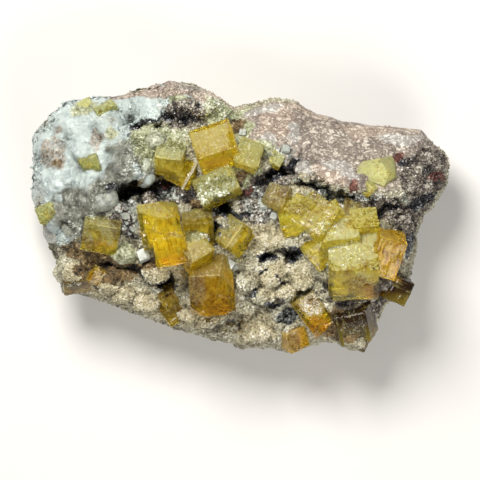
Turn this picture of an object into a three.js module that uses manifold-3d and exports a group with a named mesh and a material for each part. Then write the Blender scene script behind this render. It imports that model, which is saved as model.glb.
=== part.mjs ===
// A fluorite specimen: honey yellow cubes grown on a dark rock, with sugary quartz between them and a
// mass of white quartz at one end. Millimetres, +Z up. The piece lies on its trimmed flat back with
// the crystals up. X runs along it, +Y is its upper edge, and the origin is under its middle.
import * as THREE from 'three';
import { mergeVertices } from 'three/addons/utils/BufferGeometryUtils.js';
import Module from 'manifold-3d';

const wasm = await Module();
wasm.setup();

// Driving dimensions of the rock
const HALF_LENGTH = 50.4; // X, the middle to the right end
const HALF_WIDTH = 33.0; // Y, the middle to the upper edge
const PLATEAU = 30.5; // height of the floor that the crystals stand on
const RIM_HEIGHT = 13; // height at which the rock is widest
const RIM_TILT = 2.5; // the rim lies this much higher along the upper edge
const RIM_WAVE = 1.6; // and rises and falls by this much on its way round
const BASE_INSET = 0.08; // the walls curve in by this share down to the flat back, and the breaks cut more
const WALL_FACET = 0.03; // depth of the walls' facets, as a share of the radius
const EDGE_POWER = 6; // how late the top starts to fall towards the rim
const EDGE_ROUND = 0.45; // how round that fall is
const ROUGHNESS = 1.1; // height of the broad facets of broken rock
const GRAIN = 0.5; // height of the small ones
const GAP = 0.3; // clearance between touching pieces

// Fineness of the rock's faces
const CELLS_X = 38;
const CELLS_Y = 26;
const WALL_RINGS = 6;

// The outline seen from above, anticlockwise from the left end of the upper edge
const OUTLINE = [
  [-49.9, 19.6], [-50.2, 12.0], [-50.4, 6.0], [-49.2, 2.8], [-47.4, -3.7], [-44.5, -9.5],
  [-44.4, -14.0], [-43.1, -18.0], [-38.9, -17.9], [-33.7, -19.6], [-27.1, -22.2], [-22.2, -24.1],
  [-13.7, -26.8], [-7.7, -28.9], [-2.4, -30.1], [1.1, -31.0], [7.7, -31.2], [12.2, -32.2],
  [16.0, -30.6], [22.1, -29.4], [27.0, -31.0], [31.0, -28.5], [35.0, -20.5], [39.5, -18.5],
  [41.0, -12.4], [42.7, -6.8], [42.4, -4.1], [44.2, 1.0], [46.1, 2.7], [50.0, 8.5],
  [50.4, 15.1], [48.0, 17.2], [43.7, 21.5], [36.2, 22.3], [30.0, 22.8], [25.2, 23.6],
  [18.7, 25.3], [13.1, 28.4], [8.4, 29.2], [2.6, 27.5], [-1.7, 26.6], [-6.6, 30.0],
  [-11.0, 32.3], [-17.3, 33.0], [-26.4, 30.6], [-30.7, 29.4], [-37.0, 28.9], [-41.2, 28.2],
  [-45.8, 24.4],
];

// Planes that bound the top: height over the origin, and rise per millimetre along X and Y
const PLANES = [
  { height: PLATEAU, alongX: 0, alongY: 0 },
  { height: 40.9, alongX: -0.124, alongY: -0.62 }, // the brown face under the upper edge
  { height: 60.5, alongX: -0.75, alongY: 0 }, // the right end
  { height: 33.5, alongX: 0.105, alongY: 0.42 }, // the slope to the lower edge
];

// Flat breaks that undercut the walls: the compass angle that they face, their distance from the middle
// at rim height, and how far they run in for each millimetre down
const BREAKS = [
  { toward: 90, reach: 32.8, slope: 0.22 },
  { toward: 126, reach: 40.5, slope: 0.55 },
  { toward: 176, reach: 50.6, slope: 0.3 },
  { toward: -152, reach: 42.0, slope: 0.65 },
  { toward: -108, reach: 31.5, slope: 0.3 },
  { toward: -64, reach: 36.0, slope: 0.6 },
  { toward: -22, reach: 45.0, slope: 0.25 },
  { toward: 16, reach: 52.0, slope: 0.7 },
  { toward: 54, reach: 33.5, slope: 0.45 },
];

// Ledges, clefts and cavities: place, half sizes, turn in degrees, rise, and how flat the middle is
const FORMS = [
  { x: -19, y: 29.5, rx: 17, ry: 4.6, turn: -3, rise: 8, flat: 2 }, // ledge along the upper edge
  { x: -38, y: 12, rx: 13, ry: 13, turn: 0, rise: 2.5, flat: 2 }, // the quartz mass
  { x: 25, y: 9, rx: 20, ry: 2.6, turn: -9, rise: 2.5, flat: 2 }, // brow over the long cleft
  { x: 24, y: -5, rx: 12, ry: 9, turn: -20, rise: 2.5, flat: 1 }, // swell under the cluster
  { x: -13, y: -6, rx: 11, ry: 8, turn: 0, rise: 1.5, flat: 1 }, // swell under the heart
  { x: -22.8, y: 23.2, rx: 6.5, ry: 1.5, turn: 20, rise: -7, flat: 1 }, // crevice under the ledge
  { x: -13.7, y: 25.3, rx: 4.5, ry: 3.6, turn: 0, rise: -4, flat: 1 }, // hollow with dark druse
  { x: -1.5, y: 26, rx: 3.5, ry: 4, turn: 0, rise: -3, flat: 1 }, // notch in the upper edge
  { x: -26.6, y: 6.8, rx: 4.5, ry: 3, turn: 0, rise: -8, flat: 2 }, // west cavity
  { x: -19, y: 7.5, rx: 3.5, ry: 3.6, turn: 0, rise: -7, flat: 2 }, // red cavity
  { x: -4.5, y: 2.8, rx: 3.2, ry: 2.6, turn: -20, rise: -7, flat: 2 }, // cavity under the bar
  { x: -6.7, y: -3.5, rx: 1.6, ry: 3, turn: 0, rise: -4, flat: 1 },
  { x: 9.4, y: 11.2, rx: 6, ry: 1.6, turn: 32, rise: -5, flat: 1 }, // long cleft, west
  { x: 19.4, y: 6.8, rx: 8.5, ry: 1.6, turn: -25, rise: -5, flat: 1 }, // long cleft, middle
  { x: 36.2, y: 2.5, rx: 7, ry: 1.8, turn: 12, rise: -4, flat: 1 }, // long cleft, east
  { x: 12, y: -8.8, rx: 2.4, ry: 2.2, turn: 0, rise: -6, flat: 2 },
  { x: 5.8, y: -9, rx: 1.9, ry: 1.9, turn: 0, rise: -5, flat: 1 },
  { x: -17.5, y: -15.7, rx: 2.6, ry: 1.8, turn: 0, rise: -6, flat: 2 },
  { x: 11, y: -23.6, rx: 3.2, ry: 2.4, turn: 0, rise: -5, flat: 2 },
  { x: -30, y: -10.6, rx: 6.5, ry: 1.5, turn: -8, rise: -4, flat: 1 }, // cleft under the west cube
];

// Rounded knobs of sugary quartz: place of the middle on the rock, and radius
const KNOB_LIFT = -0.25; // the middle lies this share of the radius over the rock
const KNOB_SHAPE = [1.15, 1.0, 0.85]; // half sizes along X, Y and Z for a radius of 1
const KNOBS = [
  [-20.6, -12.8, 2.9], [3.6, -26.6, 3.6], [1.6, -15.0, 2.6], [5.2, -18.4, 2.6], [1.0, -20.8, 2.5],
  [7.2, -14.2, 2.3], [10.8, -17.4, 2.5], [14.6, -14.8, 2.5], [5.2, -5.2, 2.2], [8.8, -5.0, 2.3],
  [12.2, -5.8, 2.0], [3.4, 2.8, 2.1], [-9.8, -4.4, 2.2], [-32.0, -15.4, 2.8], [-28.2, -17.6, 2.9],
  [-22.8, -19.4, 3.2], [-13.0, -22.6, 2.4], [-8.2, -24.0, 2.6], [-2.6, -26.6, 2.8], [-40.6, -10.4, 2.6],
  [-28.6, -8.6, 3.3], [-24.6, -2.0, 1.8],
];

// Blocky crystals of the quartz mass: place of the middle on the rock, how far it lies above it, edge
// lengths, and how it stands (lean, tilt and turn in degrees, as for the fluorite below)
const QUARTZ_BLOCKS = [
  { at: [-39.5, 22.5], lift: -1.8, size: [9, 8, 8], stand: [130, 28, 10] },
  { at: [-44.5, 17.5], lift: -2.2, size: [7, 7, 8], stand: [155, 38, 20] },
  { at: [-43.5, 10.0], lift: -2.0, size: [8, 8, 8], stand: [175, 28, 35] },
  { at: [-36.5, 15.5], lift: -1.0, size: [9, 7, 6], stand: [80, 16, 50] },
  { at: [-30.5, 20.5], lift: -1.4, size: [8, 6, 7], stand: [100, 26, 15] },
  { at: [-28.5, 13.5], lift: -1.6, size: [7, 7, 6], stand: [40, 18, 30] },
  { at: [-36.0, 6.5], lift: -1.2, size: [8, 6, 6], stand: [-120, 16, 10] },
  { at: [-43.5, 2.5], lift: -2.4, size: [8, 7, 7], stand: [-170, 38, 25] },
  { at: [-38.0, 1.0], lift: -1.6, size: [6, 7, 6], stand: [-80, 20, 40] },
  { at: [-22.0, 26.6], lift: -1.8, size: [8, 7, 6], stand: [85, 24, 5] },
  { at: [-13.8, 28.4], lift: -1.4, size: [6, 5, 5], stand: [95, 26, -8] },
  { at: [-33.5, 25.2], lift: -1.8, size: [7, 6, 6], stand: [115, 34, 30] },
  { at: [-32.5, 9.5], lift: -0.8, size: [5, 5, 6], stand: [20, 30, 15] },
  { at: [-41.0, 14.5], lift: -0.6, size: [5, 6, 5], stand: [-30, 24, 5] },
];

// Plan of the quartz mass, and the plane that it rises from
const QUARTZ_PLAN = [
  [-6, 36], [-7.5, 29], [-13.5, 28.5], [-18, 25.5], [-24, 21.5], [-21.5, 16.5], [-24, 10],
  [-30.5, 8], [-31, 1], [-38.5, -1], [-43.5, -5], [-58, -6], [-58, 36],
];
const QUARTZ_FLOOR = 11;
const QUARTZ_TOP = 60;
const QUARTZ_DIP = 9; // degrees by which its floor rises towards +X

// The fluorite, one entry for each body of crystals grown together. A crystal is a block: place of its
// middle, edge lengths, and how it stands: the compass angle that its top face leans to, by how much,
// and its turn about its own axis, all in degrees.
const FLUORITE = {
  fluorite_heart: [
    { at: [-19.3, -1.5, 32.0], size: [9.8, 9.8, 9.8], stand: [100, 8, 0] },
    { at: [-16.8, -7.3, 33.7], size: [7.0, 7.9, 8.0], stand: [-80, 8, 0] },
    { at: [-11.2, -7.9, 33.6], size: [6.4, 6.4, 6.4], stand: [74, 16, -41] },
    { at: [-7.1, -14.8, 29.4], size: [10.7, 10.7, 10.7], stand: [-87, 36, 0] },
    { at: [-10.3, -1.8, 29.6], size: [7.3, 7.3, 7.3], stand: [-86, 37, 0] },
  ],
  fluorite_summit: [
    { at: [-5.6, 15.8, 30.4], size: [10.1, 10.1, 10.1], stand: [110, 45, -2] },
    { at: [-16.7, 14.7, 29.6], size: [6.9, 6.9, 6.9], stand: [92, 39, -15] },
    { at: [-13.2, 10.7, 28.5], size: [6.8, 6.8, 6.8], stand: [153, 36, 0] },
    { at: [-5.7, 7.4, 31.4], size: [6.8, 10.0, 7.0], stand: [116, 15, 0] },
    { at: [1.7, 15.1, 32.0], size: [6.6, 6.0, 6.5], stand: [70, 12, 0] },
  ],
  fluorite_west: [{ at: [-33.4, -2.2, 26.8], size: [8.8, 8.8, 8.8], stand: [-98, 41, -2] }],
  fluorite_gable: [{ at: [0.3, -6.4, 30.2], size: [8.1, 8.1, 8.1], stand: [-42, 33, 0] }],
  fluorite_cluster: [
    { at: [26.9, -11.2, 30.4], size: [12.0, 12.0, 12.0], stand: [91, 37, 0] },
    { at: [25.0, -1.0, 32.4], size: [9.6, 9.6, 9.6], stand: [80, 30, 20] },
    { at: [18.5, 0.8, 32.0], size: [8.6, 8.6, 8.6], stand: [110, 25, 35] },
    { at: [16.8, 4.4, 34.3], size: [4.5, 4.5, 4.5], stand: [95, 45, 45] },
    { at: [8.6, 5.2, 31.0], size: [6.0, 6.0, 6.0], stand: [120, 30, 40] },
    { at: [13.2, -0.8, 30.4], size: [7.0, 7.0, 7.0], stand: [-80, 50, 10] },
    { at: [18.7, -7.0, 30.6], size: [7.0, 7.0, 7.0], stand: [-60, 30, 10] },
    { at: [27.2, 4.2, 32.2], size: [4.4, 5.0, 5.0], stand: [60, 35, 15] },
    { at: [33.4, -7.8, 31.2], size: [9.8, 9.8, 9.8], stand: [-82, 17, -26] },
  ],
  fluorite_spear: [
    { at: [17.6, -23.0, 26.0], size: [10.5, 6.2, 7.0], stand: [-53, 12, 0] },
    { at: [18.0, -24.2, 26.6], size: [5.6, 5.6, 5.6], stand: [-60, 42, 45] },
  ],
  fluorite_corner: [{ at: [12.6, -28.6, 18.6], size: [5.6, 5.6, 5.6], stand: [-34, 32, -34] }],
  fluorite_lone: [{ at: [32.2, 10.1, 29.8], size: [6.7, 6.7, 6.7], stand: [191, 14, 0] }],
  fluorite_speck: [{ at: [8.4, 14.0, 30.3], size: [3.4, 3.4, 3.4], stand: [60, 15, 0] }],
  fluorite_smoky_east: [{ at: [36.6, -16.2, 21.4], size: [6.2, 6.2, 6.2], stand: [-45, 30, 20] }],
  fluorite_smoky_south: [
    { at: [27.4, -23.6, 20.0], size: [9.6, 9.6, 9.6], stand: [-80, 40, 5] },
    { at: [28.4, -28.8, 16.4], size: [5.0, 5.0, 5.0], stand: [-60, 30, 30] },
  ],
  fluorite_southwest: [
    { at: [-40.0, -14.0, 20.2], size: [5.5, 7.0, 6.0], stand: [95, 30, 5] },
    { at: [-35.2, -14.8, 19.6], size: [5.5, 5.5, 5.5], stand: [-40, 30, 10] },
  ],
  fluorite_cleft: [
    { at: [-17.4, -18.6, 22.0], size: [4.0, 4.0, 4.0], stand: [-90, 35, 30] },
    { at: [-16.6, -22.2, 19.0], size: [5.0, 5.0, 5.0], stand: [-60, 35, 5] },
  ],
  fluorite_ledge: [
    { at: [-37.2, 26.0, 25.6], size: [4.0, 4.0, 4.0], stand: [110, 34, 10] },
    { at: [-32.4, 26.0, 27.6], size: [4.0, 6.0, 5.0], stand: [110, 30, 15] },
  ],
  fluorite_quartz_wedge: [{ at: [-35.8, 12.9, 31.6], size: [4.5, 4.5, 4.5], stand: [-100, 30, 40] }],
  fluorite_west_edge: [{ at: [-45.8, 1.2, 25.4], size: [5.0, 5.0, 5.0], stand: [190, 30, 15] }],
};

const LOOKS = {
  host_rock: { color: 0x8f7f70, roughness: 0.85, metalness: 0 },
  quartz_mass: { color: 0xd3dcd6, roughness: 0.35, metalness: 0 },
  fluorite: { color: 0xd0a01c, roughness: 0.15, metalness: 0 },
  fluorite_smoky: { color: 0x5a452c, roughness: 0.25, metalness: 0 },
};

const radians = THREE.MathUtils.degToRad;

// Closed geometry to solid and back

function toSolid(geometry) {
  const bare = geometry.clone();
  bare.deleteAttribute('normal');
  bare.deleteAttribute('uv');
  const merged = mergeVertices(bare, 1e-4);
  const mesh = new wasm.Mesh({
    numProp: 3,
    vertProperties: new Float32Array(merged.attributes.position.array),
    triVerts: new Uint32Array(merged.index.array),
  });
  mesh.merge();
  return new wasm.Manifold(mesh);
}

function toGeometry(solid) {
  const mesh = solid.getMesh();
  const geometry = new THREE.BufferGeometry();
  geometry.setAttribute('position', new THREE.BufferAttribute(mesh.vertProperties, 3));
  geometry.setIndex(new THREE.BufferAttribute(mesh.triVerts, 1));
  geometry.computeVertexNormals();
  return geometry;
}

function joinAll(solids) {
  return solids.reduce((whole, solid) => whole.add(solid));
}

// Keeps the main body of a cut solid, without the splinters that cutting leaves
function mainBody(solid) {
  const bodies = solid.decompose();
  return bodies.reduce((a, b) => (a.volume() > b.volume() ? a : b));
}

// A block of crystal, with grown > 0 the socket that clears it by that much all round
function blockSolid({ at, size, stand }, grown = 0) {
  const [lean, tilt, turn] = stand.map(radians);
  const geometry = new THREE.BoxGeometry(...size.map((edge) => edge + 2 * grown));
  geometry.rotateZ(turn).rotateY(tilt).rotateZ(lean).translate(...at);
  return toSolid(geometry);
}

// The rock: a round grid of heights on top, walls down to the flat back

function outlineRadius(angle) {
  const dx = Math.cos(angle);
  const dy = Math.sin(angle);
  for (let i = 0; i < OUTLINE.length; i++) {
    const [ax, ay] = OUTLINE[i];
    const [bx, by] = OUTLINE[(i + 1) % OUTLINE.length];
    const before = dx * ay - dy * ax;
    const after = dx * by - dy * bx;
    if (before <= 0 && after > 0) {
      const share = before / (before - after);
      const x = ax + (bx - ax) * share;
      const y = ay + (by - ay) * share;
      if (x * dx + y * dy > 0) return x * dx + y * dy;
    }
  }
  throw new Error(`the outline has no point at angle ${angle}`);
}

function formHeight({ x, y, rx, ry, turn, rise, flat }, px, py) {
  const c = Math.cos(radians(turn));
  const s = Math.sin(radians(turn));
  const u = ((px - x) * c + (py - y) * s) / rx;
  const v = (-(px - x) * s + (py - y) * c) / ry;
  return rise * Math.exp(-((u * u + v * v) ** flat));
}

// A wave with sharp crests, from 0 to 1
function crease(phase) {
  return 1 - Math.abs(Math.sin(phase));
}

// Facets of broken rock, as creased waves that don't repeat within the piece
function roughness(x, y) {
  const broad = crease(0.17 * x + 0.09 * y + 0.6) - crease(0.2 * y - 0.11 * x + 1.9);
  const small = crease(0.51 * x - 0.33 * y + 0.7) - crease(0.47 * y + 0.38 * x);
  return ROUGHNESS * broad + GRAIN * small;
}

function topHeight(x, y) {
  const planes = PLANES.map((p) => p.height + p.alongX * x + p.alongY * y);
  const forms = FORMS.reduce((sum, form) => sum + formHeight(form, x, y), 0);
  return Math.min(...planes) + forms + roughness(x, y);
}

function rimHeight(angle) {
  return RIM_HEIGHT + RIM_TILT * Math.sin(angle) + RIM_WAVE * (crease(2.5 * angle + 0.4) - 0.4);
}

// A point of the top at a share of the way out to the rim
function topPoint(share, angle) {
  const radius = share * outlineRadius(angle);
  const x = radius * Math.cos(angle);
  const y = radius * Math.sin(angle);
  const rim = rimHeight(angle);
  const fall = Math.max(0, 1 - share ** EDGE_POWER) ** EDGE_ROUND;
  return [x, y, rim + (topHeight(x, y) - rim) * fall];
}

// The height of the rock at a place
function rockHeight(x, y) {
  const angle = Math.atan2(y, x);
  return topPoint(Math.hypot(x, y) / outlineRadius(angle), angle)[2];
}

// A point of the wall at a share of the way down from the rim to the flat back
function wallPoint(share, angle) {
  const z = rimHeight(angle) * (1 - share);
  const facet = WALL_FACET * crease(4.5 * angle + 2 * share) * Math.sin(Math.PI * share);
  let radius = outlineRadius(angle) * (1 - BASE_INSET * share ** 1.6 - facet);
  for (const { toward, reach, slope } of BREAKS) {
    const facing = Math.cos(angle - radians(toward));
    const limit = reach - slope * (rimHeight(angle) - z);
    if (facing > 0) radius = Math.min(radius, Math.max(limit / facing, 0.8 * radius));
  }
  return [radius * Math.cos(angle), radius * Math.sin(angle), z];
}

// Grid cells spread over the outline: a square grid bent into a disc, then stretched to the piece
function gridToOutline(a, b) {
  let out = a;
  let turn = a === 0 ? 0 : (Math.PI / 4) * (b / a);
  if (Math.abs(b) > Math.abs(a)) {
    out = b;
    turn = Math.PI / 2 - (Math.PI / 4) * (a / b);
  }
  const angle = Math.atan2(HALF_WIDTH * out * Math.sin(turn), HALF_LENGTH * out * Math.cos(turn));
  const reach = Math.abs(out);
  return { share: 0.5 * reach + 0.5 * Math.sin((reach * Math.PI) / 2), angle };
}

function rockSolid() {
  const points = [];
  const triangles = [];
  const at = (i, j) => j * (CELLS_X + 1) + i;
  for (let j = 0; j <= CELLS_Y; j++) {
    for (let i = 0; i <= CELLS_X; i++) {
      const { share, angle } = gridToOutline((2 * i) / CELLS_X - 1, (2 * j) / CELLS_Y - 1);
      points.push(...topPoint(share, angle));
    }
  }
  for (let j = 0; j < CELLS_Y; j++) {
    for (let i = 0; i < CELLS_X; i++) {
      const [p, q, r, s] = [at(i, j), at(i + 1, j), at(i + 1, j + 1), at(i, j + 1)];
      triangles.push(p, q, r, p, r, s);
    }
  }
  const border = [];
  for (let i = 0; i < CELLS_X; i++) border.push(at(i, 0));
  for (let j = 0; j < CELLS_Y; j++) border.push(at(CELLS_X, j));
  for (let i = CELLS_X; i > 0; i--) border.push(at(i, CELLS_Y));
  for (let j = CELLS_Y; j > 0; j--) border.push(at(0, j));
  const angles = border.map((v) => Math.atan2(points[3 * v + 1], points[3 * v]));
  let upper = border;
  for (let ring = 1; ring <= WALL_RINGS; ring++) {
    const lower = angles.map((angle) => {
      points.push(...wallPoint(ring / WALL_RINGS, angle));
      return points.length / 3 - 1;
    });
    for (let k = 0; k < lower.length; k++) {
      const next = (k + 1) % lower.length;
      triangles.push(upper[k], lower[k], lower[next], upper[k], lower[next], upper[next]);
    }
    upper = lower;
  }
  points.push(0, 0, 0);
  const middle = points.length / 3 - 1;
  for (let k = 0; k < upper.length; k++) {
    triangles.push(middle, upper[(k + 1) % upper.length], upper[k]);
  }
  const geometry = new THREE.BufferGeometry();
  geometry.setAttribute('position', new THREE.Float32BufferAttribute(points, 3));
  geometry.setIndex(triangles);
  return toSolid(geometry);
}

function knobSolid([x, y, radius]) {
  const geometry = new THREE.IcosahedronGeometry(radius, 1);
  geometry.rotateZ(x + y).scale(...KNOB_SHAPE);
  geometry.translate(x, y, rockHeight(x, y) + KNOB_LIFT * radius);
  return toSolid(geometry);
}

function quartzBlock({ at: [x, y], lift, size, stand }) {
  return blockSolid({ at: [x, y, rockHeight(x, y) + lift], size, stand });
}

// The space of the quartz mass, with grown > 0 larger by that much
function quartzSpace(grown = 0) {
  const plan = QUARTZ_PLAN.map(([x, y]) => new THREE.Vector2(x, y));
  const geometry = new THREE.ExtrudeGeometry(new THREE.Shape(plan), {
    depth: QUARTZ_TOP - QUARTZ_FLOOR,
    bevelEnabled: false,
  });
  geometry.translate(HALF_LENGTH + grown, -grown, QUARTZ_FLOOR - grown);
  geometry.rotateY(-radians(QUARTZ_DIP)).translate(-HALF_LENGTH, 0, 0);
  return toSolid(geometry);
}

// Assembly

const group = new THREE.Group();

function addPiece(name, solid, look) {
  const mesh = new THREE.Mesh(toGeometry(solid), new THREE.MeshStandardMaterial(LOOKS[look]));
  mesh.name = name;
  group.add(mesh);
}

const sockets = [];
for (const [name, blocks] of Object.entries(FLUORITE)) {
  const crystals = joinAll(blocks.map((block) => blockSolid(block)));
  const clear = sockets.length ? crystals.subtract(joinAll(sockets)) : crystals;
  sockets.push(joinAll(blocks.map((block) => blockSolid(block, GAP))));
  addPiece(name, mainBody(clear), name.includes('smoky') ? 'fluorite_smoky' : 'fluorite');
}
const allSockets = joinAll(sockets);

const rock = rockSolid();
const quartzBlocks = joinAll(QUARTZ_BLOCKS.map(quartzBlock));
const quartz = rock.add(quartzBlocks).intersect(quartzSpace());
addPiece('quartz_mass', mainBody(quartz.subtract(allSockets)), 'quartz_mass');
const host = rock.add(joinAll(KNOBS.map(knobSolid))).subtract(quartzSpace(GAP));
addPiece('host_rock', mainBody(host.subtract(allSockets)), 'host_rock');

export default group;
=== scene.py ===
import itertools
import math

import bpy
import numpy as np
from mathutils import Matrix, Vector


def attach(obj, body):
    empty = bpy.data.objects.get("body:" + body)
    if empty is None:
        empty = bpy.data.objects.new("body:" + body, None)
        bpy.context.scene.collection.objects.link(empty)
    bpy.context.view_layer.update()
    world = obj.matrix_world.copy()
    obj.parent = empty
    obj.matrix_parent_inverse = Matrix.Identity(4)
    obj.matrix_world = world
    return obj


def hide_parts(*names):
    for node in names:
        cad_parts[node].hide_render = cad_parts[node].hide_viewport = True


# The looks of a fluorite specimen: honey yellow cubes on a dark rock, with sugary quartz between them
# and a mass of white quartz at one end. Tables are in millimetres, in the frame of the solids.
MM = 0.001
SEED = 11

# Driving dimensions of the rock. They are those of the solids, and the rim wanders by RIM_WANDER more
HALF_LENGTH = 50.4
HALF_WIDTH = 33.0
PLATEAU = 30.5
RIM_HEIGHT = 13.0
RIM_TILT = 2.5
RIM_WAVE = 1.6
RIM_WAVES = 2.5
RIM_PHASE = 0.4
RIM_DIP = 0.4
RIM_WANDER = 1.8
BASE_INSET = 0.08
BASE_POWER = 1.6
WALL_FACET = 0.03
FACET_WAVES = 4.5
FACET_LEAN = 2
DEEPEST_BREAK = 0.8
EDGE_POWER = 6
EDGE_ROUND = 0.45

# Folds of the top: height, and for the two creases of each fold its waves along X and Y and its phase
FOLDS = [(1.1, (0.17, 0.09, 0.6), (-0.11, 0.2, 1.9)), (0.5, (0.51, -0.33, 0.7), (0.38, 0.47, 0.0))]

# Fineness of the rock's mesh, and how far its rings are spread evenly instead of crowded at the rim
CELLS_X = 336
CELLS_Y = 220
WALL_RINGS = 24
EVEN_RINGS = 0.12

# Grid on which hollows are found: step, cells that a blur reaches, and rounds of it
MAP_STEP = 0.3
MAP_BLUR = 3
MAP_ROUNDS = 3

# Layers of noise: height, size and seed, and for layers of blocks also the floor between them
CLEFT_BENDS = ([(1.3, 2.2, 91), (0.6, 0.9, 92)], [(1.3, 2.2, 93), (0.6, 0.9, 94)])
RIM_BENDS = [(1.0, 7.0, 95), (0.5, 2.2, 96)]
FIELD_BENDS = ([(1.1, 4.0, 31), (0.6, 1.5, 32)], [(1.1, 4.0, 33), (0.6, 1.5, 34)])
OUTLINE_BENDS = [(0.02, 3.0, 35)]
BROKEN_ROCK = [(0.5, 3.2, 1), (1.2, 2.0, 24, -0.3), (0.3, 1.0, 2), (0.1, 0.6, 3)]
GRANULAR_ROCK = [(0.35, 3.5, 6), (0.7, 4.2, 20, -0.3), (0.12, 0.6, 21)]
QUARTZ_RELIEF = [(2.4, 6.0, 4, -0.2), (0.9, 2.8, 14, -0.2), (0.12, 1.5, 15), (0.05, 0.8, 5)]
QUARTZ_FOLDS = (0.5, 4.4, 7)
QUARTZ_SINK = 0.6
CRUST_RELIEF = [(0.5, 1.6, 71), (0.7, 1.5, 72, -0.3)]
DARK_SINK = 0.5
WALL_RELIEF = 0.7

# Where things fade, as shares of the way out to the outline or as heights: from nothing to full
TOP_RELIEF_FADE = (1.0, 0.93)
WALL_RELIEF_FADE = (0.9, 1.0)
FOOT_FADE = (0.0, 2.0)
HOLLOW_FADE = (0.99, 0.93)
COLOUR_FADE = (1.0, 0.95)

# Edges of the fields of colour: their softness, and how far they wander on the walls
FIELD_EDGE = (0.5, 1.3)
WALL_WANDER = 6
WANDER_SIZE = 9.0
WANDER_SHARES = (0.94, 1.0)
WANDER_HEIGHTS = (14, 9)

# How far above the rock a crystal may hang and still have its light painted on the rock under it, how
# that painted light fades at its sides, and how much smaller a crystal with broken corners counts
SHINE_LIFTS = (0.0, 2.0, 4.0)
CRYSTAL_LIGHT_FADE = (0.1, -0.5)
CUT_INWARD = 1.0

# Outline of the piece seen from above
OUTLINE = np.array([
    [-49.9, 19.6], [-50.2, 12.0], [-50.4, 6.0], [-49.2, 2.8], [-47.4, -3.7], [-44.5, -9.5],
    [-44.4, -14.0], [-43.1, -18.0], [-38.9, -17.9], [-33.7, -19.6], [-27.1, -22.2], [-22.2, -24.1],
    [-13.7, -26.8], [-7.7, -28.9], [-2.4, -30.1], [1.1, -31.0], [7.7, -31.2], [12.2, -32.2],
    [16.0, -30.6], [22.1, -29.4], [27.0, -31.0], [31.0, -28.5], [35.0, -20.5], [39.5, -18.5],
    [41.0, -12.4], [42.7, -6.8], [42.4, -4.1], [44.2, 1.0], [46.1, 2.7], [50.0, 8.5],
    [50.4, 15.1], [48.0, 17.2], [43.7, 21.5], [36.2, 22.3], [30.0, 22.8], [25.2, 23.6],
    [18.7, 25.3], [13.1, 28.4], [8.4, 29.2], [2.6, 27.5], [-1.7, 26.6], [-6.6, 30.0],
    [-11.0, 32.3], [-17.3, 33.0], [-26.4, 30.6], [-30.7, 29.4], [-37.0, 28.9], [-41.2, 28.2],
    [-45.8, 24.4],
])

# Planes that bound the top: height, and rise per millimetre along X and Y
PLANES = [(PLATEAU, 0, 0), (40.9, -0.124, -0.62), (60.5, -0.75, 0), (33.5, 0.105, 0.42)]

# Breaks that undercut the walls: compass angle, reach at rim height, run in per millimetre down
BREAKS = [
    (90, 32.8, 0.22), (126, 40.5, 0.55), (176, 50.6, 0.3), (-152, 42.0, 0.65), (-108, 31.5, 0.3),
    (-64, 36.0, 0.6), (-22, 45.0, 0.25), (16, 52.0, 0.7), (54, 33.5, 0.45),
]

# Ledges, clefts and cavities: x, y, half sizes, turn in degrees, rise, and how flat the middle is
FORMS = [
    (-19, 29.5, 17, 4.6, -3, 8, 2), (-38, 12, 13, 13, 0, 2.5, 2), (25, 9, 20, 2.6, -9, 2.5, 2),
    (24, -5, 12, 9, -20, 2.5, 1), (-13, -6, 11, 8, 0, 1.5, 1), (-22.8, 22.8, 6.5, 1.3, 20, -6, 1),
    (-13.7, 25.3, 4.5, 3.6, 0, -4, 1), (-1.5, 26, 3.5, 4, 0, -3, 1), (-26.6, 6.8, 4.5, 3, 0, -8, 2),
    (-19, 7.5, 3.5, 3.6, 0, -7, 2), (-4.5, 2.8, 3.2, 2.6, -20, -7, 2), (-6.7, -3.5, 1.6, 3, 0, -4, 1),
    (9.4, 11.2, 6, 1.6, 32, -5, 1), (19.4, 6.8, 8.5, 1.6, -25, -5, 1), (36.2, 2.5, 7, 1.8, 12, -4, 1),
    (12, -8.8, 2.8, 1.6, 0, -4, 1), (5.8, -9, 2.4, 1.4, 0, -4, 1), (-17.5, -15.7, 2.6, 1.8, 0, -6, 2),
    (11, -23.6, 3.2, 2.4, 0, -3, 1), (-30, -10.6, 6.5, 1.5, -8, -4, 1),
]

# Rounded knobs of sugary quartz: x, y and radius, with one lift and one shape in radii for all
KNOB_LIFT = -0.25
KNOB_SHAPE = (1.15, 1.0, 0.85)
KNOBS = [
    (-20.6, -12.8, 2.9), (3.6, -26.6, 3.6), (1.6, -15.0, 2.6), (5.2, -18.4, 2.6), (1.0, -20.8, 2.5),
    (7.2, -14.2, 2.3), (10.8, -17.4, 2.5), (14.6, -14.8, 2.5), (5.2, -5.2, 2.2), (8.8, -5.0, 2.3),
    (12.2, -5.8, 2.0), (3.4, 2.8, 2.1), (-9.8, -4.4, 2.2), (-32.0, -15.4, 2.8), (-28.2, -17.6, 2.9),
    (-22.8, -19.4, 3.2), (-13.0, -22.6, 2.4), (-8.2, -24.0, 2.6), (-2.6, -26.6, 2.8),
    (-40.6, -10.4, 2.6), (-28.6, -8.6, 3.3), (-24.6, -2.0, 1.8),
]

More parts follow.
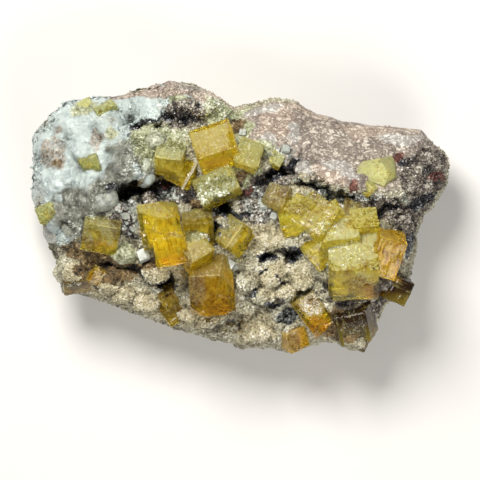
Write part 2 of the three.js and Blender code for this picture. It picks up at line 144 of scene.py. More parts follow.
# Blocky crystals of the quartz mass: x, y, lift over the rock, edge lengths, lean, tilt and turn
QUARTZ_BLOCKS = [
    ((-39.5, 22.5), -1.8, (9, 8, 8), (130, 28, 10)), ((-44.5, 17.5), -2.2, (7, 7, 8), (155, 38, 20)),
    ((-43.5, 10.0), -2.0, (8, 8, 8), (175, 28, 35)), ((-36.5, 15.5), -1.0, (9, 7, 6), (80, 16, 50)),
    ((-30.5, 20.5), -1.4, (8, 6, 7), (100, 26, 15)), ((-28.5, 13.5), -1.6, (7, 7, 6), (40, 18, 30)),
    ((-36.0, 6.5), -1.2, (8, 6, 6), (-120, 16, 10)), ((-43.5, 2.5), -2.4, (8, 7, 7), (-170, 38, 25)),
    ((-38.0, 1.0), -1.6, (6, 7, 6), (-80, 20, 40)), ((-22.0, 26.6), -1.8, (8, 7, 6), (85, 24, 5)),
    ((-13.8, 28.4), -1.4, (6, 5, 5), (95, 26, -8)), ((-33.5, 25.2), -1.8, (7, 6, 6), (115, 34, 30)),
    ((-32.5, 9.5), -0.8, (5, 5, 6), (20, 30, 15)), ((-41.0, 14.5), -0.6, (5, 6, 5), (-30, 24, 5)),
]

# Shifts over which the blocks' heights are averaged, and how far each wanders
SOFTENING = [
    (0, 0), (0.8, 0), (-0.8, 0), (0, 0.8), (0, -0.8),
    (1.1, 1.1), (-1.1, 1.1), (1.1, -1.1), (-1.1, -1.1),
]
BLOCK_WANDER = 0.7
BLOCK_WANDER_SIZE = 1.8

# The prism in which the rock is quartz: its plan, floor and top, and dip in degrees
QUARTZ_PLAN = [
    (-6, 36), (-7.5, 29), (-13.5, 28.5), (-18, 25.5), (-24, 21.5), (-21.5, 16.5), (-24, 10),
    (-30.5, 8), (-31, 1), (-38.5, -1), (-43.5, -5), (-58, -6), (-58, 36),
]
QUARTZ_FLOOR = 11
QUARTZ_TOP = 60
QUARTZ_DIP = 9

# Colours of the fluorite: of its clear parts, and of the film where it is frosted
LIME = ("#F8FCAA", "#F2F6A8")
LEMON = ("#FCF046", "#C8BC70")
GOLD = ("#FAEC3C", "#D4C890")
AMBER = ("#E9D242", "#A08C5C")
ORANGE = ("#F0D04C", "#CFAE70")
OLIVE = ("#EAE562", "#B4B084")
DEEP = ("#CFC044", "#98905C")
GREENISH = ("#E8E87E", "#AEB070")
HONEY = ("#ECC822", "#B48E44")
BROWN = ("#A48C48", "#7A6A44")
PALE = ("#F8FCAA", "#D8DC94")
MILKY = ("#F4F290", "#C8D0A8")
WHITE = ("#F8F25C", "#ECEEC4")
VEILED = ("#F8F25C", "#DED688")
UMBER = ("#B8A868", "#82775A")
SMOKY = ("#4A3412", "#241A0C")

# The fluorite: for each body its look, and for each crystal its middle, edge lengths, stand (lean, tilt
# and turn), colour, and how frosted it is, from -1 to 1
FLUORITE = {
    "heart": ("yellow", [
        ((-19.3, -1.5, 32.0), (9.8, 9.8, 9.8), (100, 8, 0), LEMON, -0.3),
        ((-16.8, -7.3, 33.7), (7.0, 7.9, 8.0), (-80, 8, 0), LEMON, -0.6),
        ((-11.2, -7.9, 33.4), (6.8, 6.8, 6.8), (74, 27, -41), GOLD, -0.1),
        ((-7.1, -15.4, 29.0), (12.2, 10.7, 10.7), (-87, 36, 0), AMBER, -0.1),
        ((-10.3, -1.8, 29.6), (7.3, 7.3, 7.3), (-86, 37, 0), DEEP, -0.1),
    ]),
    "summit": ("yellow", [
        ((-6.1, 17.1, 31.8), (10.1, 10.1, 6.2), (110, 45, -2), GOLD, -0.1),
        ((-16.7, 14.7, 29.6), (6.9, 6.9, 6.9), (92, 39, -15), MILKY, 0.0),
        ((-13.2, 10.7, 28.5), (6.8, 6.8, 6.8), (153, 36, 0), DEEP, -0.3),
        ((-5.7, 7.4, 31.4), (6.8, 10.0, 7.0), (116, 15, 0), GREENISH, -0.1),
        ((1.7, 15.1, 32.0), (6.6, 6.0, 6.5), (70, 12, 0), GREENISH, 0.0),
    ]),
    "west": ("olive", [((-33.4, -2.2, 26.8), (8.8, 8.8, 8.8), (-98, 41, -2), OLIVE, 0.15)]),
    "gable": ("yellow", [((-1.7, -4.1, 31.4), (5.0, 7.6, 8.1), (-36, 33, 0), GOLD, 0.0)]),
    "cluster": ("pale", [
        ((26.9, -11.2, 30.4), (12.0, 12.0, 12.0), (91, 37, 0), WHITE, 0.15),
        ((23.4, -3.4, 31.0), (8.4, 8.4, 8.4), (80, 30, 20), WHITE, 0.25),
        ((18.5, -0.4, 32.0), (8.6, 8.6, 8.6), (110, 25, 35), OLIVE, -0.05),
        ((16.7, 3.0, 33.0), (3.8, 3.8, 3.8), (95, 45, 45), OLIVE, 0.2),
        ((9.0, 4.6, 30.8), (5.6, 5.6, 5.6), (120, 30, 40), UMBER, 0.2),
        ((13.2, -0.8, 30.4), (7.0, 7.0, 7.0), (-80, 50, 10), OLIVE, -0.4),
        ((18.7, -7.0, 30.6), (7.0, 7.0, 7.0), (-60, 30, 10), OLIVE, -0.1),
        ((26.2, 1.4, 30.4), (4.6, 4.2, 4.4), (60, 35, 15), UMBER, 0.1),
        ((34.8, -8.2, 30.6), (9.8, 6.9, 9.8), (-82, 17, -26), HONEY, -0.9),
        ((14.0, 1.8, 32.0), (5.6, 5.6, 5.6), (115, 30, 20), VEILED, 0.0),
        ((22.6, -3.6, 31.6), (7.0, 7.6, 6.4), (95, 32, 8), WHITE, 0.35),
        ((19.4, -2.6, 32.0), (5.6, 5.6, 5.6), (125, 28, 25), VEILED, 0.0),
        ((29.4, -1.0, 31.4), (5.4, 6.4, 5.4), (85, 30, 12), VEILED, 0.1),
        ((21.6, 0.8, 32.4), (4.4, 5.0, 4.4), (100, 34, 15), VEILED, 0.05),
    ]),
    "spear": ("amber", [
        ((17.6, -23.0, 26.0), (10.5, 6.2, 7.0), (-53, 12, 0), GOLD, -0.1),
    ]),
    "corner": ("amber", [((12.6, -28.6, 18.6), (5.6, 5.6, 5.6), (-34, 32, -34), ORANGE, 0.0)]),
    "lone": ("pale", [
        ((32.7, 10.8, 29.4), (8.6, 7.0, 6.7), (191, 8, 0), LIME, 0.45),
        ((30.8, 7.2, 31.5), (3.2, 3.0, 3.4), (200, 30, 25), PALE, 0.3),
    ]),
    "speck": ("pale", [((8.4, 14.0, 30.3), (3.4, 3.4, 3.4), (60, 15, 0), PALE, 0.1)]),
    "smoky_east": ("smoky", [((37.0, -16.4, 21.4), (6.6, 6.2, 6.2), (-45, 30, 20), SMOKY, -0.5)]),
    "smoky_south": ("smoky", [
        ((27.4, -23.6, 20.0), (9.6, 9.6, 9.6), (-80, 40, 5), SMOKY, 0.2),
        ((28.2, -28.0, 17.2), (5.6, 5.6, 5.6), (-60, 30, 30), BROWN, 0.3),
    ]),
    "southwest": ("amber", [
        ((-40.0, -14.4, 19.6), (5.5, 6.6, 6.0), (95, 30, 5), BROWN, -0.2),
        ((-34.6, -13.8, 22.2), (4.2, 4.2, 4.2), (-40, 24, 10), AMBER, -0.1),
    ]),
    "cleft": ("olive", [
        ((-17.4, -18.6, 22.0), (4.0, 4.0, 4.0), (-90, 35, 30), BROWN, -0.4),
        ((-16.6, -22.2, 19.0), (5.0, 5.0, 5.0), (-60, 35, 5), BROWN, -0.3),
    ]),
    "ledge": ("yellow", [
        ((-37.2, 26.0, 26.2), (4.0, 4.0, 4.0), (110, 34, 10), LIME, 0.9),
        ((-32.6, 26.2, 28.6), (3.4, 5.2, 4.4), (110, 30, 15), PALE, 0.2),
    ]),
    "quartz_wedge": ("olive", [((-35.8, 12.9, 33.0), (4.8, 4.5, 4.5), (-100, 20, 30), GREENISH, 0.4)]),
    "west_edge": ("yellow", [((-45.8, 1.2, 26.0), (5.0, 5.0, 5.0), (190, 30, 15), PALE, 0.4)]),
}

# Small growths on each crystal of a body, where they aren't 2
GROWTHS = {"cluster": 9, "lone": 0, "cleft": 0}

# Corners broken off: body and number of the crystal, and lines along which it ends, seen from above.
# The broken faces slant by CUT_RISE degrees, and the lines are CUT_HEIGHT over the crystal's middle.
CUT_RISE = 25
CUT_HEIGHT = 1.0
CUT_BLOCK = 15.0
CUTS = {
    ("heart", 0): [((-18.2, 4.6), (-14.7, 1.8))], ("heart", 2): [((-13.9, -4.4), (-8.2, -3.8))],
    ("heart", 3): [
        ((-4.3, -8.0), (-1.6, -13.1)), ((-1.5, -19.6), (-4.6, -24.6)), ((-6.0, -24.6), (-12.4, -21.9)),
    ],
    ("gable", 0): [((2.4, -4.0), (2.0, -9.6)), ((2.4, -9.6), (-1.6, -11.0))],
    ("cluster", 0): [((20.9, -17.2), (26.1, -18.7))], ("spear", 0): [((21.4, -21.6), (17.5, -29.0))],
    ("lone", 0): [
        ((34.7, 14.1), (37.0, 10.9)), ((37.0, 10.9), (35.9, 8.4)), ((28.8, 12.8), (31.4, 14.3)),
        ((29.2, 8.8), (31.8, 7.6)),
    ],
    ("smoky_south", 0): [((33.6, -18.0), (31.6, -28.0))],
    ("ledge", 1): [((-34.6, 26.6), (-30.2, 28.4))],
    ("quartz_wedge", 0): [((-34.8, 11.4), (-39.5, 12.2)), ((-39.5, 12.3), (-36.5, 15.0))],
    ("west_edge", 0): [((-43.9, 0.6), (-47.5, -0.9))],
}

# Rounded coats of druse over crystals: middle and half sizes
CRUSTS = [((-41.2, -13.0, 21.2), (3.6, 3.0, 2.6)), ((27.0, -28.6, 19.4), (3.4, 3.0, 3.0))]

# Rounded lumps of clearer quartz: x, y, half sizes, and shares of the fields of colour
LUMPS = [
    (-33.4, 5.0, (3.9, 3.4, 3.6), {"white": 0.6, "grey": 0.45}),
    (-22.8, 9.6, (2.0, 1.9, 1.8), {"white": 0.8}),
    # This lump faces away from the light, and its pallid share is painted light that makes up for the shade
    (-45.4, -3.2, (2.4, 2.5, 3.0), {"white": 0.8, "pallid": 0.7}),
    (-40.6, -2.0, (2.6, 2.4, 2.0), {"white": 0.4, "grey": 0.5}),
    (-27.2, 16.0, (2.0, 1.7, 1.6), {"white": 0.5, "grey": 0.5}),
    (-43.6, 7.2, (3.0, 3.4, 2.4), {"white": 0.9}),
    (-23.8, 12.8, (2.4, 2.0, 1.8), {"green": 0.5, "white": 0.6}),
    (-20.4, 18.6, (2.8, 2.0, 1.8), {"green": 0.7, "white": 0.5}),
    (-28.4, -8.0, (3.7, 2.8, 2.8), {"green": 0.8}), (14.8, 11.8, (1.8, 1.2, 1.2), {"pallid": 1.0}),
]

# Single small quartz crystals: x, y, edge, stand
SINGLES = [
    (-23.4, -8.8, 2.7, (100, 14, 12)), (-15.8, 5.0, 1.5, (60, 30, 20)),
    (-29.6, 2.6, 1.7, (110, 35, 40)), (-2.6, -11.4, 2.4, (120, 25, 30)), (-17.2, 5.4, 1.1, (0, 40, 10)),
    (5.4, 3.2, 2.0, (90, 30, 10)), (7.6, 0.4, 1.6, (40, 25, 30)), (0.4, 20.6, 1.5, (80, 20, 5)),
    (10.6, 16.6, 1.7, (50, 30, 40)), (-31.0, -1.4, 1.3, (70, 30, 15)), (-27.6, 0.6, 1.4, (-20, 35, 25)),
]

# Fields of colour on the rock, the later over the earlier: x, y, half sizes, turn in degrees
FIELDS = {
    "cream": [
        (3.6, -26.6, 5, 5, 0), (-18, -14, 5, 3, 0), (10, -15, 8, 5, 0), (-28, -20, 12, 5, -20),
        (-28.6, -9.4, 4, 3, 0), (-14, -24, 8, 4, -15), (-40, -13, 4, 3, 0), (5, -4, 6, 4, 0),
        (14, 8.5, 5, 2, -30),
    ],
    "white": [
        (-41, 15, 12, 16, 0), (-24, 27.5, 17, 4.5, -3), (-27, 17, 7, 9, 0), (-44, 1, 6, 8, 0),
        (-45.6, -3.4, 2.6, 2.8, 0),
    ],
    "brown": [
        (14, 21.5, 17, 9.5, -10), (27, 15.5, 19, 8.5, -10), (41, 19, 9, 5, 0), (-23, 31, 12, 1.6, -4),
        (-11.4, 31.6, 7, 2, 10),
    ],
    "rosy": [
        (8.5, 23, 5, 4.5, 0), (-23, 31.2, 11, 1.6, -4), (16, 27, 6, 2, -20), (21, 10.5, 5, 2, -25),
        (-8, 30.5, 5, 2, 20), (33, 21, 10, 2, -8),
    ],
    "dusky": [(-45, 15.2, 3.6, 4.2, 0), (-34.6, 19.2, 1.9, 3.2, 10), (-44, 20.6, 1.6, 1.2, 0)],
    "pallid": [
        (14.5, 12.6, 3.4, 1.6, -30), (7, 19.4, 2, 1.6, 0), (12.6, 20.4, 1.6, 3, 0), (38, 19.5, 5, 2, 0),
        (24, 11.5, 5, 1.6, -20), (6, 26.5, 6, 1.4, 10), (45.6, 17, 4, 1.4, -50),
    ],
    "grey": [
        (-39.8, 2.4, 6, 6, 0), (-31, 6, 6, 5, 30), (-29, 11, 4, 4, 0), (-36.6, -1.2, 5.4, 3.4, 0),
        (-22, 15, 4, 3, 0), (-26, 16.4, 6, 3.4, 0), (-27, 0.5, 4, 5, 0), (-17, 5.2, 4, 2, 0),
        (4.6, 3.6, 3.4, 3.4, 0), (11.4, -23.4, 3, 2, 0), (40.6, 6, 3, 1.6, 30), (-3, -11.5, 3, 2, 0),
    ],
    "green": [
        (-15.8, 28.4, 2.5, 1.5, 0), (-4, 26.5, 6.5, 4.5, 20), (-1, 21, 4, 3.4, 0), (-31, 21, 2, 1.5, 0),
        (-37.4, 26.4, 3.4, 1.6, 10), (-20, 19.5, 8, 3, 0), (-21, 16, 5, 3, 0), (1, 11, 4, 3, 0),
        (6, 17, 3, 2.4, 0), (-28.4, -8.6, 3.4, 2.6, 0),
    ],
    # Dark brown rock; the band below the west crystal is a painted shadow
    "umber": [
        (-30, -11, 9, 2, -8), (-32.5, -12.8, 7.5, 2.6, -6), (-44.8, 13.2, 1.3, 1.6, 20),
        (-9, 3.6, 5, 3, -20), (-22, -11, 3, 2, 0), (31, -19, 9, 7, 0), (28, -28.6, 5, 4, 0),
        (27, -26, 8, 6, 0), (-38, -8.5, 5, 1.6, -20), (-25.4, 8, 3, 1.4, 30), (-1, 22.6, 2, 1.4, 40),
        (-0.5, 10, 5, 1.6, 30),
    ],
    "mixed": [
        (44.5, 10, 6.5, 6.5, 0), (41, -1, 5, 6, 0), (30, -17, 10, 6, 0), (33, -24, 5, 8, 0),
        (8, 9, 6, 3, 20), (-13.9, 25.3, 5.0, 3.4, 0), (4, 3, 4, 4, 0), (33, 3, 6, 3, -10),
        (-14, 6, 10, 3, 10), (-28, 0, 3, 5, 0),
    ],
    # Black druse, and painted shade in the cavities, clefts, crevices and gaps between knobs that it fills
    "dark": [
        (44, 4.4, 5, 1.4, 20), (41.5, -7, 2, 3, 0), (-12.8, 24.2, 1.8, 0.9, 30),
        (18.6, 6.8, 5.6, 0.6, -20), (27, 5.0, 4.8, 0.6, 2), (9.1, 11.0, 5.0, 0.9, 36),
        (-19, 7, 3.0, 2.4, 0), (-26.6, 6.4, 3.6, 1.4, 15), (-30.6, 7.6, 1.6, 1.0, 60),
        (-4.5, 2.4, 3.6, 1.9, -20), (-1, -0.6, 1.6, 2.2, 0), (6.4, -8.8, 2.6, 1.1, -20),
        (12.4, -8.8, 2.2, 1.5, 10), (14.6, -7.6, 1.6, 0.6, 40), (1.6, 1.2, 1.4, 0.8, 0),
        (11.5, -23.6, 3.2, 1.8, 20), (-17.5, -15.9, 2.2, 1.0, 0), (-6.7, -3.5, 1.2, 3.0, 0),
        (-24.8, 22.0, 4.0, 0.5, 26), (-19.6, 23.9, 3.0, 0.5, 12), (5, -12.4, 1.6, 0.5, 20),
        (9.4, -14.6, 2, 0.4, -30), (2, -17.8, 2.2, 0.4, 10), (8, -20.4, 2.4, 0.5, 0),
        (38.6, 13.8, 1, 1.4, 0),
    ],
    "red": [
        (-18.2, 7.9, 1.8, 1.3, 0), (27.4, 7.6, 1.5, 2.1, 0), (38.0, 14.8, 2.8, 1.2, 35),
        (1.7, 6.5, 1.8, 1, 0), (46.4, 10, 2.2, 0.9, 20), (36.4, 12.2, 1.2, 0.8, 0),
        (38.6, -11, 1.2, 1, 0),
    ],
}

# Where grey druse glints, as ellipses like those above
GLINTS = [
    (19.4, 7.0, 7.0, 1.4, -22), (28, 5.4, 5.0, 1.2, 0), (-27, 0.5, 3.4, 4.4, 0), (-17, 5.2, 3, 1.6, 0),
    (4.6, 3.6, 3.4, 3.4, 0), (11.4, -23.4, 2.6, 1.6, 0), (9, 15.6, 3, 2, 0),
]

# Tones of each field in five even steps, from its depths to its brightest grains
TONES = {
    "plain": ("#2E2A22", "#6B6450", "#A09A80", "#C6C2A8", "#E8E6D6"),
    "cream": ("#463E2E", "#857A5C", "#B4AA88", "#D0C8A8", "#ECE6D2"),
    "brown": ("#4B433C", "#7C7066", "#9E9285", "#C0B4A4", "#E6DDCE"),
    "rosy": ("#5E4E42", "#8E7C6E", "#B2A18F", "#CDBEAC", "#EAE0D2"),
    "white": ("#929C9A", "#B2BEBC", "#C2CEC9", "#CCD6D0", "#E2E8E0"),
    "dusky": ("#3A3028", "#6A5C4E", "#948878", "#B4AC9C", "#D6D4C8"),
    "pallid": ("#6A645A", "#98928A", "#BCB8AE", "#D4D0C8", "#EEECE6"),
    "grey": ("#2E2E28", "#545449", "#7C7D70", "#A2A496", "#D0D4C8"),
    "green": ("#45462C", "#7A7C58", "#A2A580", "#C8CCAA", "#EEF0DE"),
    "umber": ("#1A1208", "#3E2E1A", "#64502F", "#8A7249", "#B09A70"),
    "mixed": ("#08070A", "#201D1E", "#4A433E", "#867C6C", "#D4CEC0"),
    "dark": ("#060607", "#141416", "#28282B", "#4C4C50", "#9EA2A4"),
    "red": ("#220D09", "#42201A", "#643830", "#86584A", "#AE8C7C"),
}

# Places on the fluorite: where a film covers it, where it is clear, brownish, veiled or orange, and where
# grains stand on it
PLACES = {
    "film": [
        (-6.7, 19.6, 6.4, 4.6, 20), (-20.6, 2.6, 6, 2.8, -5), (-10.3, -8.0, 4, 3.0, 15),
        (-6.8, -10.9, 6.4, 3.2, 0), (-17, 16.4, 5.4, 3.2, 0), (-2.8, -3.6, 3.8, 3.0, 50),
        (1.9, 15.6, 4.4, 4.4, 0), (26.2, -7.4, 6.6, 4.6, 0), (16.6, -20.5, 3.8, 3.0, -50),
        (12.0, -28.6, 3.4, 2.6, 0), (-33.8, 0.9, 5, 2.6, -8), (-11, 2.2, 4, 2.2, 0),
        (32.9, 10.9, 6, 5, 0), (24.6, -4.6, 4.0, 2.4, -20), (8.2, 14.8, 3, 3, 0),
        (-5.6, 7.6, 6.6, 4.2, 25), (-40.5, -12.4, 4, 3, 0), (35.2, -5.2, 4.2, 2.0, -20),
        (28, -28, 4, 3.4, 0), (-11.4, -4.2, 2.6, 2.0, 0), (-10.6, -16.6, 2.4, 5, 0),
        (-33.6, -4.4, 3.4, 2.4, 0), (-17.6, -3.3, 4.4, 0.5, -8), (-36, 1.6, 2.4, 1.4, 0),
        (-31.4, -3.4, 1.8, 2.2, 0),
    ],
    "clear": [
        (-7.4, 22.7, 5.4, 1.4, 20), (-1.8, 20.0, 1.4, 4.4, 8), (-17.6, -1.6, 3.6, 1.6, 10),
        (30.6, -17.6, 3, 1.6, 0),
    ],
    "tawny": [
        (28.0, -16.0, 4.4, 2.4, -8), (-10.4, -17.4, 3.0, 5.0, 0), (-5.4, -20.4, 3.6, 3.0, 0),
        (2.2, -8.4, 1.6, 3.4, 0), (-17.6, -3.5, 4.4, 0.4, -8), (-36.6, -5.6, 2.6, 1.4, -20),
        (-29.8, -2.2, 1.6, 3.6, 0), (-33.8, 1.4, 4.6, 1.6, -8), (32.0, -17.0, 2.4, 2.0, 0),
        (35.4, -8.8, 3.4, 1.0, -20), (17.6, -19.4, 2, 2, 0), (-13.4, -9.4, 1.6, 2.4, 0),
        (13.6, 2.6, 2.6, 1.6, 0), (-38.6, -16.6, 3.6, 1.4, 0), (-34.4, -15.4, 2.4, 3, 0),
        (12.4, -29.4, 2, 2, 0),
    ],
    "veiled": [
        (29.2, -15.8, 4.0, 3.0, 0), (26.0, -19.2, 4.0, 0.6, 0), (-36.8, -4.6, 1.2, 3.4, 0),
        (-32.6, -2.0, 1.4, 3.0, 30),
    ],
    "orange": [
        (-33.0, -6.2, 2.8, 0.9, -8), (31.6, -17.4, 2.6, 2.0, 0), (37.6, -13.0, 1.4, 2.0, 0),
        (18.6, -26.0, 2.4, 2.6, 0), (-4.6, -22.6, 5, 1.8, 0), (14.4, -27.6, 1.4, 2.4, 0),
        (-16.2, -9.8, 3, 1.6, 0), (-6, 13.6, 4, 1.2, 10), (-5, 24.4, 3, 1, 20),
    ],
    "grown": [
        (-6.8, 7.0, 5.6, 3.0, 30), (26.0, -8.4, 4.6, 3.2, 0), (16.8, -20.4, 3.0, 2.6, -50),
        (-34.6, 0.6, 3.0, 1.4, 0), (-40.5, -12.6, 3.8, 2.8, 0), (28, -28, 3.6, 3.4, 0),
        (-11.0, -4.0, 2.4, 1.4, 0), (19.6, -2.2, 3.4, 1.6, 0), (-16.6, 17.8, 4.0, 1.6, 0),
        (8.6, 15.6, 2, 1.4, 0), (-2.6, -2.6, 3.4, 1.4, 50),
    ],
}


def hex_colour(text):
    """The linear colour of a hex code, as four numbers."""
    channels = [int(text[i : i + 2], 16) / 255 for i in (1, 3, 5)]
    linear = [c / 12.92 if c <= 0.04045 else ((c + 0.055) / 1.055) ** 2.4 for c in channels]
    return (*linear, 1.0)


# Noise

# Blocks lean by up to MOST_LEAN radians, and their reach is in sizes
MOST_LEAN = 1.2
LEAST_REACH = 0.5
MORE_REACH = 0.4


def hashed(cells, seed):
    """A number from 0 to 1 for each cell of an integer grid."""
    mixed = (cells[..., 0] * 73856093) ^ (cells[..., 1] * 19349663) ^ (cells[..., 2] * 83492791)
    mixed = (mixed ^ (seed * 2654435)) & 0xFFFFFFFF
    mixed = ((mixed ^ (mixed >> 15)) * 2246822519) & 0xFFFFFFFF
    mixed = ((mixed ^ (mixed >> 13)) * 3266489917) & 0xFFFFFFFF
    return ((mixed ^ (mixed >> 16)) & 0xFFFFFF) / 0xFFFFFF


def noise(points, size, seed=0):
    """Smooth noise from -1 to 1 with lumps of that size."""
    scaled = points / size
    low = np.floor(scaled).astype(np.int64)
    part = scaled - low
    ease = part * part * part * (part * (part * 6 - 15) + 10)
    total = np.zeros(len(points))
    for corner in itertools.product((0, 1), repeat=3):
        weight = np.prod(np.where(corner, ease, 1 - ease), axis=-1)
        total += weight * hashed(low + np.array(corner), seed)
    return 2 * total - 1


def blocks(points, size, seed=0):
    """Blocks of about that size grown into each other, each turned its own way: height in sizes."""
    scaled = points / size
    low = np.floor(scaled).astype(np.int64)
    height = np.full(len(points), -1.0)
    for shift in itertools.product((-1, 0, 1), repeat=3):
        cell = low + np.array(shift)
        chance = [hashed(cell, seed + k) for k in range(6)]
        away = scaled - cell - np.stack(chance[:3], axis=-1)
        turn, lean = 2 * np.pi * chance[3], MOST_LEAN * chance[4]
        u = away[:, 0] * np.cos(turn) + away[:, 1] * np.sin(turn)
        v = away[:, 1] * np.cos(turn) - away[:, 0] * np.sin(turn)
        w = away[:, 2] * np.cos(lean) - u * np.sin(lean)
        u = u * np.cos(lean) + away[:, 2] * np.sin(lean)
        reach = LEAST_REACH + MORE_REACH * chance[5]
        height = np.maximum(height, reach - np.maximum(np.maximum(np.abs(u), np.abs(v)), np.abs(w)))
    return height


def layered(points, layers, start=0.0):
    """Adds layers of noise or blocks to a start."""
    total = start
    for height, size, seed, *floor in layers:
        if floor:
            total = total + height * np.maximum(blocks(points, size, seed), floor[0])
        else:
            total = total + height * noise(points, size, seed)
    return total


def smooth_step(low, high, value):
    """A smooth rise from 0 to 1 between two values."""
    share = np.clip((value - low) / (high - low), 0, 1)
    return share * share * (3 - 2 * share)


# Form of the rock

def radial_table():
    """The outline's distance from the middle at many angles."""
    angles = np.linspace(-np.pi, np.pi, 7201)
    dx, dy = np.cos(angles), np.sin(angles)
    radii = np.zeros(len(angles))
    for (ax, ay), (bx, by) in zip(OUTLINE, np.roll(OUTLINE, -1, axis=0)):
        before = dx * ay - dy * ax
        after = dx * by - dy * bx
        share = before / np.where(before == after, 1, before - after)
        reach = (ax + (bx - ax) * share) * dx + (ay + (by - ay) * share) * dy
        radii = np.where((before <= 0) & (after > 0) & (reach > 0), reach, radii)
    return angles, radii


ANGLES, RADII = radial_table()


def outline_radius(angle):
    return np.interp(angle, ANGLES, RADII)


def outline_share(points):
    """How far out points lie, 1 on the outline."""
    return np.hypot(points[:, 0], points[:, 1]) / outline_radius(np.arctan2(points[:, 1], points[:, 0]))


def ellipse(x, y, form):
    """Squared distance from an ellipse's middle, 1 on its line."""
    cx, cy, rx, ry, turn = form[:5]
    c, s = math.cos(math.radians(turn)), math.sin(math.radians(turn))
    u = ((x - cx) * c + (y - cy) * s) / rx
    v = (-(x - cx) * s + (y - cy) * c) / ry
    return u * u + v * v


def crease(phase):
    return 1 - np.abs(np.sin(phase))


def broken_surface(x, y):
    total = 0.0
    for height, (ax, ay, first), (bx, by, second) in FOLDS:
        total = total + height * (crease(ax * x + ay * y + first) - crease(bx * x + by * y + second))
    return total


def top_height(x, y):
    height = np.min([h + ax * x + ay * y for h, ax, ay in PLANES], axis=0)
    places = np.stack([x, y, 0 * x], axis=-1)
    bent_x, bent_y = (layered(places, layers, start) for layers, start in zip(CLEFT_BENDS, (x, y)))
    for form in FORMS:
        *_, rise, flatness = form
        away = ellipse(bent_x, bent_y, form) if rise < 0 else ellipse(x, y, form)
        height = height + rise * np.exp(-(away ** flatness))
    return height + broken_surface(x, y)


def rim_height(angle):
    wave = crease(RIM_WAVES * angle + RIM_PHASE) - RIM_DIP
    return RIM_HEIGHT + RIM_TILT * np.sin(angle) + RIM_WAVE * wave


def rim_line(angle):
    """Height of the rim with its unevenness."""
    around = HALF_LENGTH * np.stack([np.cos(angle), np.sin(angle), 0 * angle], axis=-1)
    return rim_height(angle) + RIM_WANDER * layered(around, RIM_BENDS)


def top_points(share, angle):
    radius = share * outline_radius(angle)
    x, y = radius * np.cos(angle), radius * np.sin(angle)
    rim = rim_line(angle)
    fall = np.clip(1 - share**EDGE_POWER, 0, 1) ** EDGE_ROUND
    return np.stack([x, y, rim + (top_height(x, y) - rim) * fall], axis=-1)


def rock_height(x, y):
    """Height of the rock's top at one place, without knobs, blocks and relief."""
    x, y = np.array([x]), np.array([y])
    angle = np.arctan2(y, x)
    return float(top_points(np.hypot(x, y) / outline_radius(angle), angle)[0, 2])


def wall_points(share, angle):
    z = rim_line(angle) * (1 - share)
    facet = WALL_FACET * crease(FACET_WAVES * angle + FACET_LEAN * share) * np.sin(np.pi * share)
    radius = outline_radius(angle) * (1 - BASE_INSET * share**BASE_POWER - facet)
    for toward, reach, slope in BREAKS:
        facing = np.cos(angle - math.radians(toward))
        limit = (reach - slope * (rim_height(angle) - z)) / np.maximum(facing, 0.01)
        radius = np.where(facing > 0, np.minimum(radius, np.maximum(limit, DEEPEST_BREAK * radius)), radius)
    return np.stack([radius * np.cos(angle), radius * np.sin(angle), z], axis=-1)


def grid_to_outline(a, b):
    """A square grid bent into a disc and stretched to the piece: share of the way out, and angle."""
    wide = np.abs(a) >= np.abs(b)
    out = np.where(wide, a, b)
    safe = np.where(out == 0, 1, out)
    turn = np.where(wide, np.pi / 4 * b / safe, np.pi / 2 - np.pi / 4 * a / safe)
    angle = np.arctan2(HALF_WIDTH * out * np.sin(turn), HALF_LENGTH * out * np.cos(turn))
    reach = np.abs(out)
    return EVEN_RINGS * reach + (1 - EVEN_RINGS) * np.sin(reach * np.pi / 2), angle


def stand_matrix(stand):
    """Rotation that leans a crystal's top towards a compass angle, after turning it about its axis."""
    lean, tilt, turn = (math.radians(angle) for angle in stand)
    def about_z(angle):
        c, s = math.cos(angle), math.sin(angle)
        return np.array([[c, -s, 0], [s, c, 0], [0, 0, 1]])
    c, s = math.cos(tilt), math.sin(tilt)
    about_y = np.array([[c, 0, s], [0, 1, 0], [-s, 0, c]])
    return about_z(lean) @ about_y @ about_z(turn)


def block_top(x, y, middle, size, stand):
    """Height of a leaning block's upper side over each place, and minus infinity beside it."""
    matrix = stand_matrix(stand)
    start = np.stack([x - middle[0], y - middle[1], np.zeros_like(x)], axis=-1) @ matrix
    climb = matrix[2]
    half = np.array(size) / 2
    ends = (np.sign(climb) * half - start) / climb
    begins = (-np.sign(climb) * half - start) / climb
    highest, lowest = ends.min(axis=-1), begins.max(axis=-1)
    return np.where(highest > lowest, middle[2] + highest, -np.inf)


def field(points, forms, ragged=1.0):
    """How far points lie inside any of the ellipses, 1 in the middle and 0 outside, with ragged edges."""
    at_wall = smooth_step(*WANDER_SHARES, outline_share(points))
    wander = WALL_WANDER * np.maximum(at_wall, smooth_step(*WANDER_HEIGHTS, points[:, 2]))
    x, y = (
        points[:, axis] + ragged * layered(points, FIELD_BENDS[axis])
        + wander * noise(points, WANDER_SIZE, 36 + axis)
        for axis in (0, 1)
    )
    mask = np.zeros(len(points))
    for form in forms:
        mask = np.maximum(mask, 1 - smooth_step(*FIELD_EDGE, ellipse(x, y, form)))
    return mask


def rock_field(points, kind):
    """The field of that kind, which ends at the outline unless the whole rock is made of it."""
    mask = field(points, FIELDS[kind])
    if kind in ("white", "brown", "rosy"):
        return mask
    return mask * smooth_step(*COLOUR_FADE, layered(points, OUTLINE_BENDS, outline_share(points)))


def inside_crystals(points, grown):
    """True for points inside any fluorite crystal grown by that much on each side."""
    inside = np.zeros(len(points), bool)
    for _, crystals in FLUORITE.values():
        for middle, size, stand, _, _ in crystals:
            local = (points - np.array(middle)) @ stand_matrix(stand)
            inside |= np.all(np.abs(local) < np.array(size) / 2 + grown, axis=-1)
    return inside


